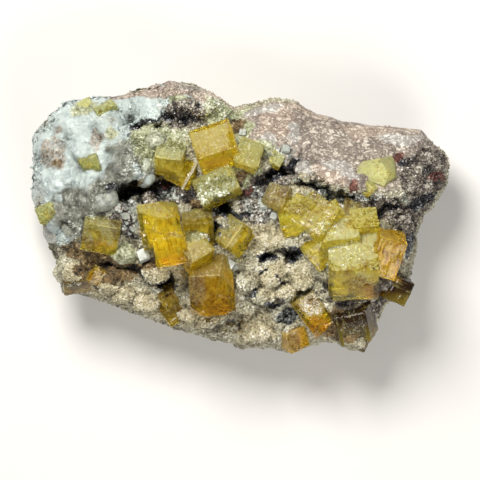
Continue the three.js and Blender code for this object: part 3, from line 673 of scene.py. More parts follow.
def fine_relief(points):
    """Fine relief of the rock, in millimetres along its surface's normal."""
    white, dark, brown = (rock_field(points, kind) for kind in ("white", "dark", "brown"))
    height, size, seed = QUARTZ_FOLDS
    folds = height * (1 - np.abs(noise(points, size, seed)))
    smooth = layered(points, QUARTZ_RELIEF, folds) - QUARTZ_SINK
    granular = layered(points, GRANULAR_ROCK)
    relief = layered(points, BROKEN_ROCK) - DARK_SINK * dark
    relief = relief + (smooth - relief) * white
    return relief + (granular - relief) * brown * (1 - white)


# Meshes

def mesh_object(name, points, faces):
    """A mesh object from points in millimetres."""
    mesh = bpy.data.meshes.new(name)
    mesh.from_pydata((points * MM).tolist(), [], faces.tolist() if hasattr(faces, "tolist") else faces)
    mesh.update()
    piece = bpy.data.objects.new(name, mesh)
    bpy.context.scene.collection.objects.link(piece)
    return piece


def combine(piece, other, operation):
    """Joins or cuts a closed mesh with another, and removes the other."""
    modifier = piece.modifiers.new(operation, "BOOLEAN")
    modifier.operation = operation
    modifier.solver = "MANIFOLD"
    modifier.object = other
    shaped = bpy.data.meshes.new_from_object(piece.evaluated_get(bpy.context.evaluated_depsgraph_get()))
    piece.modifiers.clear()
    piece.data = shaped
    bpy.data.objects.remove(other)


def mesh_points(piece):
    """A piece's points in millimetres, and its normals there."""
    count = len(piece.data.vertices)
    points, normals = np.zeros(count * 3, np.float32), np.zeros(count * 3, np.float32)
    piece.data.vertices.foreach_get("co", points)
    piece.data.vertices.foreach_get("normal", normals)
    return points.reshape(-1, 3).astype(float) / MM, normals.reshape(-1, 3).astype(float)


def store(piece, name, values):
    """Stores a number, a place or a colour for each point of a piece."""
    parts = values.size // len(values)
    kind, key = {1: ("FLOAT", "value"), 3: ("FLOAT_VECTOR", "vector"), 4: ("FLOAT_COLOR", "color")}[parts]
    attribute = piece.data.attributes.new(name, kind, "POINT")
    attribute.data.foreach_set(key, values.astype(np.float32).ravel())


def dressed_top(share, angle):
    """Points of the rock's top with its knobs, quartz blocks and fine relief."""
    top = top_points(share, angle)
    x, y = top[:, 0], top[:, 1]
    for kx, ky, radius in KNOBS:
        rx, ry, rz = (radius * k for k in KNOB_SHAPE)
        out = ellipse(x, y, (kx, ky, rx, ry, 0))
        dome = rock_height(kx, ky) + KNOB_LIFT * radius + rz * np.sqrt(np.clip(1 - out, 0, None))
        top[:, 2] = np.where(out < 1, np.maximum(top[:, 2], dome), top[:, 2])
    blocky = [top[:, 2]] * len(SOFTENING)
    wandered = [
        (x + dx + BLOCK_WANDER * noise(top, BLOCK_WANDER_SIZE, 101 + number),
         y + dy + BLOCK_WANDER * noise(top, BLOCK_WANDER_SIZE, 121 + number))
        for number, (dx, dy) in enumerate(SOFTENING)
    ]
    for (bx, by), lift, size, stand in QUARTZ_BLOCKS:
        middle = (bx, by, rock_height(bx, by) + lift)
        for number, (wx, wy) in enumerate(wandered):
            blocky[number] = np.maximum(blocky[number], block_top(wx, wy, middle, size, stand))
    top[:, 2] = np.mean(blocky, axis=0)
    top[:, 2] += fine_relief(top) * smooth_step(*TOP_RELIEF_FADE, share)
    return top


def hollow_map():
    """How deep places lie below their surroundings, in millimetres, on a grid over the piece, for painted
    shade.
    """
    across = np.arange(-HALF_LENGTH, HALF_LENGTH, MAP_STEP)
    x, y = np.meshgrid(across, np.arange(-HALF_WIDTH, HALF_WIDTH, MAP_STEP))
    angle = np.arctan2(y, x).ravel()
    share = np.hypot(x, y).ravel() / outline_radius(angle)
    heights = dressed_top(np.minimum(share, 1), angle)[:, 2].reshape(x.shape)
    around = heights
    span = 2 * MAP_BLUR + 1
    for _ in range(MAP_ROUNDS):
        padded = np.pad(around, MAP_BLUR, mode="edge")
        total = np.cumsum(np.cumsum(np.pad(padded, ((1, 0), (1, 0))), axis=0), axis=1)
        around = total[span:, span:] - total[:-span, span:] - total[span:, :-span] + total[:-span, :-span]
        around = around / span**2
    return around - heights


def hollow_shade(points):
    """The map of depths read at points, fading at the outline: how much painted shade darkens them."""
    i = np.clip(((points[:, 1] + HALF_WIDTH) / MAP_STEP).astype(int), 0, HOLLOWS.shape[0] - 1)
    j = np.clip(((points[:, 0] + HALF_LENGTH) / MAP_STEP).astype(int), 0, HOLLOWS.shape[1] - 1)
    return HOLLOWS[i, j] * smooth_step(*HOLLOW_FADE, outline_share(points))


def rock_shell():
    """The closed surface of the whole rock."""
    def push_out(points, angle, share):
        outward = np.stack([np.cos(angle), np.sin(angle), 0 * angle], axis=-1)
        return points + outward * (WALL_RELIEF * fine_relief(points) * share)[:, None]
    a, b = np.meshgrid(np.linspace(-1, 1, CELLS_X + 1), np.linspace(-1, 1, CELLS_Y + 1))
    share, angle = grid_to_outline(a.ravel(), b.ravel())
    top = push_out(dressed_top(share, angle), angle, smooth_step(*WALL_RELIEF_FADE, share))
    at = np.arange((CELLS_X + 1) * (CELLS_Y + 1)).reshape(CELLS_Y + 1, CELLS_X + 1)
    quads = np.stack([at[:-1, :-1], at[:-1, 1:], at[1:, 1:], at[1:, :-1]], axis=-1).reshape(-1, 4)
    border = np.concatenate([at[0, :-1], at[:-1, -1], at[-1, :0:-1], at[:0:-1, 0]])
    around = angle[border]
    rings, quad_sets, upper = [top], [quads], border
    for ring in range(1, WALL_RINGS + 1):
        wall = wall_points(ring / WALL_RINGS, around)
        wall = push_out(wall, around, smooth_step(*FOOT_FADE, wall[:, 2]))
        lower = sum(len(r) for r in rings) + np.arange(len(border))
        quad_sets.append(np.stack([upper, lower, np.roll(lower, -1), np.roll(upper, -1)], axis=-1))
        rings.append(wall)
        upper = lower
    faces = np.concatenate(quad_sets).tolist() + [upper[::-1].tolist()]
    return mesh_object("rock", np.concatenate(rings), faces)


def quartz_space():
    """The prism in which the rock is quartz."""
    dip = math.radians(-QUARTZ_DIP)
    points = []
    for z, (x, y) in itertools.product((QUARTZ_FLOOR, QUARTZ_TOP), QUARTZ_PLAN):
        px = x + HALF_LENGTH
        dipped_x = px * math.cos(dip) + z * math.sin(dip) - HALF_LENGTH
        points.append((dipped_x, y, z * math.cos(dip) - px * math.sin(dip)))
    count = len(QUARTZ_PLAN)
    faces = [[i, (i + 1) % count, count + (i + 1) % count, count + i] for i in range(count)]
    faces += [list(range(count))[::-1], list(range(count, 2 * count))]
    return mesh_object("quartz_space", np.array(points), [face[::-1] for face in faces])


def paint_rock(piece, lit_by_crystals=True):
    """Stores a rock piece's fields of colour, its depths for painted shade, and the light painted under
    crystals.
    """
    points, _ = mesh_points(piece)
    for kind in FIELDS:
        store(piece, kind, rock_field(points, kind))
    store(piece, "hollow_shade", hollow_shade(points))
    # Painted light from the crystals on the rock under and close beside them, as a share from 0 to 1
    below = np.zeros(len(points))
    for (body, (_, crystals)), lift in itertools.product(FLUORITE.items(), SHINE_LIFTS if lit_by_crystals else ()):
        lifted = points + np.array([0, 0, lift])
        for number, (middle, size, stand, _, _) in enumerate(crystals):
            local = np.abs((lifted - np.array(middle)) @ stand_matrix(stand)) - np.array(size) / 2
            inward = CUT_INWARD if (body, number) in CUTS else 0.0
            below = np.maximum(below, smooth_step(*CRYSTAL_LIGHT_FADE, local.max(axis=-1) + inward))
    store(piece, "crystal_light", below)


# Crystals

# Faces of a crystal: how its cells crowd towards the edges, its growth steps, a finer unevenness, and
# how far apart, in middles, crystals take their noise
CELL_CROWD = 0.8
STEPS = 2.0
STEP_DEPTH = 0.10
STEP_SIZE = 3.2
UNEVENNESS = 0.04
UNEVEN_SIZE = 0.9
APART = 3.1

# Growths on a crystal: shares of its half size and of the way to its edges, how far they stand out, how
# much of each stays within the edges, and how far down a face may look that carries them
GROWTH_SIZES = (0.16, 0.42)
GROWTH_PLACES = (0.35, 1.0)
GROWTH_STANDS = (0.1, 0.3)
GROWTH_INSET = 0.8
GROWTH_DOWN = -0.2

# Frost on a crystal: least, more on faces towards +Y, more on its +Y side, and noise
FROST = 0.1
FROST_FACING = 0.3
FROST_UPWARD = 0.4
FROST_NOISE = [(0.3, 2.2, 51)]

# How much more frost a film or a veil adds, and on which faces a film lies, how much less is in clear
# places, and how the painted light on the low part of a crystal begins and rises towards -Y
FILM = 0.75
FILM_FACES = (-0.1, 0.5)
FILM_LEAN = 0.8
VEIL = 0.6
CLEARING = 1.2
LOW_START = 0.35
LOW_RISE = -2.4


def crystal_mesh(name, middle, size, stand, bevel=0.3, cells=16, seed=0):
    """A block with slightly rounded edges and low growth steps on its faces."""
    half = np.array(size) / 2
    line = np.linspace(-1, 1, cells + 1)
    line = np.sign(line) * np.abs(line) ** CELL_CROWD
    index, points, faces = {}, [], []
    def number(p):
        key = tuple(np.round(p, 6))
        if key not in index:
            index[key] = len(points)
            points.append(p)
        return index[key]
    for axis, side in itertools.product(range(3), (-1, 1)):
        u, v = (axis + 1) % 3, (axis + 2) % 3
        grid = np.empty((cells + 1, cells + 1), int)
        for i, j in itertools.product(range(cells + 1), repeat=2):
            p = np.zeros(3)
            p[axis], p[u], p[v] = side, line[i], line[j]
            grid[i, j] = number(p)
        for i, j in itertools.product(range(cells), repeat=2):
            quad = [grid[i, j], grid[i + 1, j], grid[i + 1, j + 1], grid[i, j + 1]]
            faces.append(quad if side > 0 else quad[::-1])
    local = np.array(points) * half
    core = np.clip(local, -(half - bevel), half - bevel)
    away = local - core
    length = np.linalg.norm(away, axis=-1, keepdims=True)
    local = core + away / np.maximum(length, 1e-9) * np.minimum(length, bevel)
    place = local + np.array(middle) * APART
    steps = np.round(STEPS * noise(place, STEP_SIZE, 41 + seed)) / STEPS
    depth = STEP_DEPTH * steps + UNEVENNESS * noise(place, UNEVEN_SIZE, 42 + seed)
    local -= (local / half) * depth[:, None]
    return mesh_object(name, local @ stand_matrix(stand).T + np.array(middle), faces)


def crust_mesh(name, middle, half, rough=1.0, rings=18, around=36):
    """A lumpy closed dome."""
    downs = np.linspace(0, np.pi, rings + 1)[1:-1]
    turns = np.linspace(0, 2 * np.pi, around, endpoint=False)
    down, turn = np.meshgrid(downs, turns, indexing="ij")
    ways = np.stack([np.sin(down) * np.cos(turn), np.sin(down) * np.sin(turn), np.cos(down)], axis=-1)
    ways = np.concatenate([ways.reshape(-1, 3), [[0, 0, 1], [0, 0, -1]]])
    place = np.array(middle) + ways * np.array(half)
    place += ways * (rough * layered(place, CRUST_RELIEF))[:, None]
    at = np.arange((rings - 1) * around).reshape(rings - 1, around)
    beside = np.roll(at, -1, axis=1)
    faces = np.stack([at[:-1], at[1:], beside[1:], beside[:-1]], axis=-1).reshape(-1, 4).tolist()
    top, bottom = len(place) - 2, len(place) - 1
    faces += [[top, at[0, i], beside[0, i]] for i in range(around)]
    faces += [[bottom, beside[-1, i], at[-1, i]] for i in range(around)]
    return mesh_object(name, place, faces)


def cut_along(piece, line, middle):
    """Breaks off what lies beyond a line at the height of a crystal's middle, with a slanting face."""
    start, end = np.array(line)
    out = np.array([start[1] - end[1], end[0] - start[0]])
    out = out / np.linalg.norm(out)
    if np.dot(out, (start + end) / 2 - np.array(middle[:2])) < 0:
        out = -out
    matrix = stand_matrix((math.degrees(math.atan2(out[1], out[0])), 90 - CUT_RISE, 0))
    centre = np.array([*(start + end) / 2, middle[2] + CUT_HEIGHT]) + matrix[:, 2] * CUT_BLOCK
    corners, faces = CUBE
    combine(piece, mesh_object("cut", CUT_BLOCK * corners @ matrix.T + centre, faces), "DIFFERENCE")


def growths(middle, size, stand, count, rng):
    """Small blocks that stand a little out of a crystal's faces, parallel to it: middles and sizes."""
    half = np.array(size) / 2
    matrix = stand_matrix(stand)
    made = []
    while len(made) < count:
        axis, side = rng.integers(3), rng.choice((-1, 1))
        if (matrix[:, axis] * side)[2] < GROWTH_DOWN:
            continue
        small = half * rng.uniform(*GROWTH_SIZES, 3)
        reach = np.sign(rng.uniform(-1, 1, 3)) * rng.uniform(*GROWTH_PLACES, 3)
        place = reach * (half - GROWTH_INSET * small)
        place[axis] = side * (half[axis] - small[axis] + rng.uniform(*GROWTH_STANDS))
        made.append((np.array(middle) + matrix @ place, 2 * small))
    return made


def grown_together(name, crystals, count, rng):
    """One closed mesh of crystals with their broken corners and growths."""
    pieces = []
    for number, (middle, size, stand, _, _) in enumerate(crystals):
        pieces.append(crystal_mesh(f"{name}_crystals", middle, size, stand, seed=number))
        for line in CUTS.get((name, number), []):
            cut_along(pieces[number], line, middle)
    for middle, size, stand, _, _ in crystals:
        for place, small in growths(middle, size, stand, count, rng):
            pieces.append(crystal_mesh("growth", place, small, stand, bevel=0.12, cells=4))
    whole, *others = pieces
    for other in others:
        combine(whole, other, "UNION")
    whole.name = f"{name}_crystals"
    return whole


def fluorite_body(name, crystals, count, rng):
    """Crystals grown together, with colour and frosting stored on their points."""
    whole = grown_together(name, crystals, count, rng)
    points, normals = mesh_points(whole)
    nearest = np.full(len(points), np.inf)
    parts = {"frost": 1, "mist": 4, "edge": 1, "low": 1, "tint": 4, "own": 3}
    stored = {measure: np.zeros((len(points), size)) for measure, size in parts.items()}
    for middle, size, stand, (clear_code, film_code), frosted in crystals:
        local = (points - np.array(middle)) @ stand_matrix(stand)
        gaps = np.sort(np.abs(local) - np.array(size) / 2, axis=-1)
        mine = gaps[:, 2] < nearest
        nearest = np.where(mine, gaps[:, 2], nearest)
        upward = (points[:, 1] - middle[1]) / max(size)
        coat = FROST + frosted + FROST_FACING * normals[:, 1] + FROST_UPWARD * upward
        stored["own"][mine] = local[mine] * MM
        stored["edge"][mine, 0] = (gaps[:, 2] - gaps[:, 1])[mine]
        # Share of painted light on the low side of each crystal
        stored["low"][mine, 0] = np.clip(LOW_RISE * upward - LOW_START, 0, 1)[mine]
        stored["frost"][mine, 0] = layered(points, FROST_NOISE, coat)[mine]
        stored["tint"][mine] = hex_colour(clear_code)
        stored["mist"][mine] = hex_colour(film_code)
    places = {kind: field(points, forms, 0.5) for kind, forms in PLACES.items()}
    faces_up = smooth_step(*FILM_FACES, normals[:, 2] + FILM_LEAN * normals[:, 1])
    frost = stored["frost"][:, 0] + FILM * places["film"] * faces_up
    stored["frost"] = np.clip(frost + VEIL * places["veiled"] - CLEARING * places["clear"], 0, 1)
    stored |= {kind: places[kind] for kind in ("tawny", "orange")}
    for measure, values in stored.items():
        store(whole, measure, values)
    return whole


# Grains: small crystals scattered over a surface, joined in one mesh

# Tones of grains: their mean and spread, patches of noise, and how much painted shade darkens a hollow.
# A grain takes a field's colour where the field is over a number drawn from least to most, less in dense
# ones
MEAN_TONE = 0.54
TONE_SPREAD = 0.5
TONE_PATCHES = [(0.3, 3.0, 61)]
TONE_HOLLOW_SHADE = 0.45
HOLLOW_RANGE = (-0.5, 1.5)
DENSE_FIELDS = ("umber", "dark", "mixed")
FIELD_LEAST = 0.15
FIELD_MOST = 0.9
DENSE_MOST = 0.45


def toned(kind, tone):
    """Colours of a field at tones from 0 to 1."""
    steps = np.array([hex_colour(code) for code in TONES[kind]])
    return np.stack([np.interp(tone, np.linspace(0, 1, len(steps)), steps[:, k]) for k in range(4)], axis=-1)


OCTAHEDRON = (
    np.array([[1, 0, 0], [0, 1, 0], [-1, 0, 0], [0, -1, 0], [0, 0, 1], [0, 0, -1]], float),
    np.array([[0, 1, 4], [1, 2, 4], [2, 3, 4], [3, 0, 4], [1, 0, 5], [2, 1, 5], [3, 2, 5], [0, 3, 5]]),
)
CUBE = (
    np.array(list(itertools.product((-1, 1), repeat=3)), float),
    np.array([[0, 1, 3, 2], [4, 6, 7, 5], [0, 4, 5, 1], [2, 3, 7, 6], [0, 2, 6, 4], [1, 5, 7, 3]]),
)


def scatter(piece, count, weight, rng):
    """Points over a piece, thicker where weight(points, normals) is larger, and their normals."""
    mesh = piece.data
    mesh.calc_loop_triangles()
    corners = np.zeros(len(mesh.loop_triangles) * 3, np.int32)
    mesh.loop_triangles.foreach_get("vertices", corners)
    points, _ = mesh_points(piece)
    triangles = points[corners.reshape(-1, 3)]
    cross = np.cross(triangles[:, 1] - triangles[:, 0], triangles[:, 2] - triangles[:, 0])
    area = np.linalg.norm(cross, axis=-1)
    normals = cross / np.maximum(area, 1e-12)[:, None]
    middles = triangles.mean(axis=1)
    chance = area * np.clip(weight(middles, normals), 0, None)
    chosen = rng.choice(len(triangles), size=count, p=chance / chance.sum())
    u, v = rng.random(count), rng.random(count)
    u, v = np.where(u + v > 1, 1 - u, u), np.where(u + v > 1, 1 - v, v)
    corner = triangles[chosen]
    spots = corner[:, 0] + u[:, None] * (corner[:, 1] - corner[:, 0])
    spots = spots + v[:, None] * (corner[:, 2] - corner[:, 0])
    return spots, normals[chosen]


def grains(name, template, spots, normals, sizes, spread, sunk, rng):
    """One mesh of small crystals on spots, each in its own direction, sunk by a share of its size."""
    def unit(vectors):
        return vectors / np.maximum(np.linalg.norm(vectors, axis=-1, keepdims=True), 1e-9)
    axis = unit(normals + spread * rng.normal(size=normals.shape))
    side = unit(np.cross(axis, rng.normal(size=axis.shape)))
    frame_of_grain = (side, np.cross(axis, side), axis)
    corners, faces = template
    shaped = corners[None] * sizes[:, None, :]
    placed = sum(shaped[..., k : k + 1] * way[:, None] for k, way in enumerate(frame_of_grain))
    points = (placed + (spots - sunk * sizes[:, :1] * normals)[:, None]).reshape(-1, 3)
    starts = np.arange(len(spots)) * len(corners)
    piece = mesh_object(name, points, (faces[None] + starts[:, None, None]).reshape(-1, faces.shape[1]))
    # Painted shade: grains in hollows are toned darker
    patches_and_hollow_shade = layered(spots, TONE_PATCHES) - TONE_HOLLOW_SHADE * np.clip(hollow_shade(spots), *HOLLOW_RANGE)
    tone = np.clip(MEAN_TONE + patches_and_hollow_shade + TONE_SPREAD * (rng.random(len(spots)) - 0.5), 0, 1)
    store(piece, "tone", np.repeat(tone, len(corners)))
    colours = toned("plain", tone)
    for kind in FIELDS:
        most = DENSE_MOST if kind in DENSE_FIELDS else FIELD_MOST
        within = rock_field(spots, kind) > rng.uniform(FIELD_LEAST, most, len(spots))
        colours = np.where(within[:, None], toned(kind, tone), colours)
    store(piece, "tint", np.repeat(colours, len(corners), axis=0))
    return piece


# Materials

class Looks:
    """Short ways to build one material out of shader nodes."""

    def __init__(self, name):
        self.material = bpy.data.materials.new(name)
        self.material.use_nodes = True
        self.tree = self.material.node_tree
        self.shader = self.tree.nodes["Principled BSDF"]
        self.place = self.tree.nodes.new("ShaderNodeTexCoord").outputs["Object"]

    def join(self, socket, value):
        if isinstance(value, bpy.types.NodeSocket):
            self.tree.links.new(value, socket)
        else:
            socket.default_value = value

    def noise(self, size, detail=3.0, roughness=0.55, place=None, bend=0.0):
        """Noise from 0 to 1 with lumps of that size in millimetres, bent to wisps."""
        node = self.tree.nodes.new("ShaderNodeTexNoise")
        self.join(node.inputs["Vector"], place or self.place)
        node.inputs["Scale"].default_value = 1 / (size * MM)
        node.inputs["Detail"].default_value = detail
        node.inputs["Roughness"].default_value = roughness
        node.inputs["Distortion"].default_value = bend
        return node.outputs["Fac"]

    def cells(self, size):
        """A random number for each cell of that size in millimetres."""
        node = self.tree.nodes.new("ShaderNodeTexVoronoi")
        self.join(node.inputs["Vector"], self.place)
        node.inputs["Scale"].default_value = 1 / (size * MM)
        return self.number_of(node.outputs["Color"])

    def stretched(self, name, factors):
        """A stored place, stretched by a factor along each axis."""
        node = self.tree.nodes.new("ShaderNodeVectorMath")
        node.operation = "MULTIPLY"
        self.join(node.inputs[0], self.stored(name, "Vector"))
        node.inputs[1].default_value = factors
        return node.outputs["Vector"]

    def number_of(self, colour):
        node = self.tree.nodes.new("ShaderNodeSeparateColor")
        self.join(node.inputs["Color"], colour)
        return node.outputs["Red"]

    def stored(self, name, kind="Fac"):
        node = self.tree.nodes.new("ShaderNodeAttribute")
        node.attribute_name = name
        return node.outputs[kind]

    def maths(self, operation, a, b):
        node = self.tree.nodes.new("ShaderNodeMath")
        node.operation = operation
        self.join(node.inputs[0], a)
        self.join(node.inputs[1], b)
        return node.outputs[0]

    def spread(self, value, low, high, to_low=0.0, to_high=1.0):
        node = self.tree.nodes.new("ShaderNodeMapRange")
        for socket, number in zip(node.inputs[:5], (value, low, high, to_low, to_high)):
            self.join(socket, number)
        return node.outputs[0]

    def stretch(self, noise, *ends):
        """Spreads a noise, most of which lies from 0.3 to 0.7, evenly over 0 to 1 or other ends."""
        return self.spread(noise, 0.3, 0.7, *ends)

    def ramp(self, value, *stops):
        """Colours along a value from 0 to 1, given as pairs of position and hex code."""
        node = self.tree.nodes.new("ShaderNodeValToRGB")
        self.join(node.inputs["Fac"], value)
        elements = node.color_ramp.elements
        while len(elements) < len(stops):
            elements.new(1.0)
        for element, (position, code) in zip(elements, stops):
            element.position = position
            element.color = hex_colour(code)
        return node.outputs["Color"]

    def tones(self, value, kind):
        """The colours of a field along a value from 0 to 1."""
        codes = TONES[kind]
        return self.ramp(value, *((step / (len(codes) - 1), code) for step, code in enumerate(codes)))

    def blend(self, *parts):
        """The sum of values, each times its share."""
        total = self.maths("MULTIPLY", *parts[0])
        for value, share in parts[1:]:
            total = self.maths("ADD", total, self.maths("MULTIPLY", value, share))
        return total

    def mix(self, share, a, b, kind="MIX"):
        node = self.tree.nodes.new("ShaderNodeMix")
        node.data_type = "RGBA"
        node.blend_type = kind
        self.join(node.inputs[0], share)
        self.join(node.inputs[6], a)
        self.join(node.inputs[7], b)
        return node.outputs[2]

    def toward(self, colour, share, code):
        """A colour blended with another by a share."""
        return self.mix(share, colour, hex_colour(code))

    def shaded(self, colour, value, *stops):
        """A colour multiplied by the colours along a value."""
        return self.mix(1.0, colour, self.ramp(value, *stops), "MULTIPLY")

    def bump(self, height, depth):
        """Dents of that depth in millimetres."""
        node = self.tree.nodes.new("ShaderNodeBump")
        node.inputs["Distance"].default_value = depth * MM
        self.join(node.inputs["Height"], height)
        self.join(self.shader.inputs["Normal"], node.outputs["Normal"])

    def set(self, **values):
        for name, value in values.items():
            self.join(self.shader.inputs[name.replace("_", " ")], value)
        return self


# Noises of the rock's colour: size, detail and roughness
ROCK_NOISES = {
    "fine": (0.6, 4.0, 0.6), "middling": (1.7, 3.0), "broad": (4.5, 4.0), "ragged": (1.1, 5.0, 0.7),
}

# Sizes of the cells of one tone: chips in the brown rock, salt in the druse, and cells in the quartz
SMALL_CHIPS = 0.42
LARGE_CHIPS = 0.95
SALT = 0.6
QUARTZ_CELLS = 1.5

# Edges of the fields of colour: where they begin and end, and how jagged they are
FIELD_EDGES = {"dark": (0.35, 0.65, 1.0), "mixed": (0.35, 0.65, 1.0), "dusky": (0.3, 1.1, 1.2)}
USUAL_EDGES = (0.15, 0.95, 0.5)

# Rock and quartz: strength and colour of the painted shade in hollows, depth of the dents, roughness in
# the dents and on the bumps, and how much light goes through
HARD = (0.9, "#14110E", 0.35, (0.85, 0.4), 0.0)
SOFT = (0.6, "#4A463A", 0.16, (0.5, 0.25), 0.18)
# Colours of the light painted on the rock under the crystals
CRYSTAL_LIGHT_TONES = ((0.3, "#D6C68C"), (0.7, "#FBF6DC"))
GRAIN_SHADES = ((0.3, "#C8C8C8"), (0.6, "#FFFFFF"))
QUARTZ_IOR = 1.54
FLUORITE_IOR = 1.434


def rock_material(name, kind):
    looks = Looks(name)
    shade_strength, shade_code, dents, roughness, passing = kind
    fine, middling, broad, ragged = (looks.noise(*values) for values in ROCK_NOISES.values())
    chips = looks.spread(looks.cells(SMALL_CHIPS), 0.6, 0.95)
    chips = looks.maths("MAXIMUM", chips, looks.spread(looks.cells(LARGE_CHIPS), 0.86, 0.95))
    grainy = looks.spread(looks.blend((fine, 0.65), (middling, 0.35)), 0.34, 0.66)
    milky = looks.blend((fine, 0.25), (middling, 0.3), (broad, 0.35), (looks.cells(QUARTZ_CELLS), 0.1))
    milky = looks.spread(milky, 0.32, 0.68)
    speckled = looks.blend((looks.stretch(broad), 0.3), (looks.stretch(fine), 0.25), (chips, 0.55))
    salted = looks.blend((looks.cells(SALT), 0.7), (looks.stretch(fine), 0.3))
    measures = {
        "brown": speckled, "rosy": speckled, "pallid": speckled, "white": milky, "grey": milky,
        "mixed": salted, "red": salted,
    }
    colour = looks.tones(grainy, "plain")
    ragged = looks.blend((looks.stretch(ragged, -1, 1), 0.5), (looks.stretch(fine, -1, 1), 0.25))
    for field_kind in FIELDS:
        low, high, jagged = FIELD_EDGES.get(field_kind, USUAL_EDGES)
        stored = looks.stored(field_kind)
        edge = looks.spread(looks.maths("ADD", stored, looks.maths("MULTIPLY", ragged, jagged)), low, high)
        edge = looks.maths("MULTIPLY", edge, looks.spread(stored, 0.0, 0.2))
        colour = looks.mix(edge, colour, looks.tones(measures.get(field_kind, grainy), field_kind))
    # Painted shade: the colour darkens in hollows
    depth = looks.spread(looks.stored("hollow_shade"), 0.1, 1.2, 0.0, shade_strength)
    colour = looks.toward(colour, depth, shade_code)
    # Painted light: rock under and beside the crystals is lightened as if lit through them
    crystal_light_colour = looks.ramp(broad, *CRYSTAL_LIGHT_TONES)
    colour = looks.mix(looks.maths("MULTIPLY", looks.stored("crystal_light"), 0.9), colour, crystal_light_colour)
    looks.bump(fine, dents)
    if passing:
        looks.set(Transmission_Weight=passing, IOR=QUARTZ_IOR)
    return looks.set(Base_Color=colour, Roughness=looks.stretch(fine, *roughness)).material


def grain_material(name, stops, roughness, transmission=0.0):
    """Grains coloured by their tone along the stops, or by their own colour if there are none."""
    looks = Looks(name)
    colour = looks.ramp(looks.stored("tone"), *stops) if stops else looks.stored("tint", "Color")
    colour = looks.shaded(colour, looks.noise(0.5), *GRAIN_SHADES)
    looks.set(Base_Color=colour, Roughness=roughness)
    return looks.set(Transmission_Weight=transmission, IOR=QUARTZ_IOR).material


# Streaks on the fluorite are stretched along each crystal's own X and Z
STREAKS = (0.15, 1.0, 0.15)

# Each look of the fluorite: the colour that its depth lets through, density per metre, and where they
# aren't as usual: shares of wisps and streaks, colour of the highlight painted on its edges, depth of
# dents, roughness from clear to frosted, and how clear it is
USUAL_LOOK = {
    "wispy": 0.25, "striped": 0.45, "edges": "#FFF6A8", "dents": 0.3, "rough": (0.05, 0.5), "clear": 0.95,
}
FLUORITE_LOOKS = {
    "yellow": {"passing": (0.995, 0.93, 0.3), "density": 150},
    "amber": {"passing": (0.98, 0.86, 0.2), "density": 160},
    "olive": {"passing": (0.92, 0.89, 0.35), "density": 150, "striped": 0.2},
    "pale": {"passing": (0.98, 0.95, 0.36), "density": 125, "wispy": 0.8, "dents": 0.12, "rough": (0.2, 0.5)},
    "smoky": {
        "passing": (0.72, 0.54, 0.26), "density": 330, "edges": "#54401E", "dents": 0.12,
        "rough": (0.05, 0.2), "clear": 0.7,
    },
}

# Colours that the fluorite's noises and places give, beside those of each crystal
VEIN_SHADES = ((0.38, "#B89450"), (0.45, "#E8D08C"), (0.51, "#FFFFFF"))
VEIN_LIGHT = "#FFF8A4"
# Colour of the painted light in each crystal's low part
LOW_PAINTED_LIGHT = "#FFE64E"
ORANGE_LIGHT = "#FFC846"
FILM_SHADES = ((0.36, "#9C9A90"), (0.5, "#DCDAD4"), (0.64, "#FFFFFF"))
FILM_SPARKLE = "#F4F2E4"
TAWNY_SHADE = "#7E5626"

# Noises of the fluorite's colour: size, detail and roughness
FLUORITE_NOISES = {"fine": (0.35, 3.0), "cloud": (2.4, 3.0), "mottle": (0.8, 4.0, 0.65)}
STREAK_NOISE = (0.5, 2.0)
WISP_NOISE = (1.2, 5.0, 0.6)
WISP_BEND = 1.8
SPARKLE = 0.34


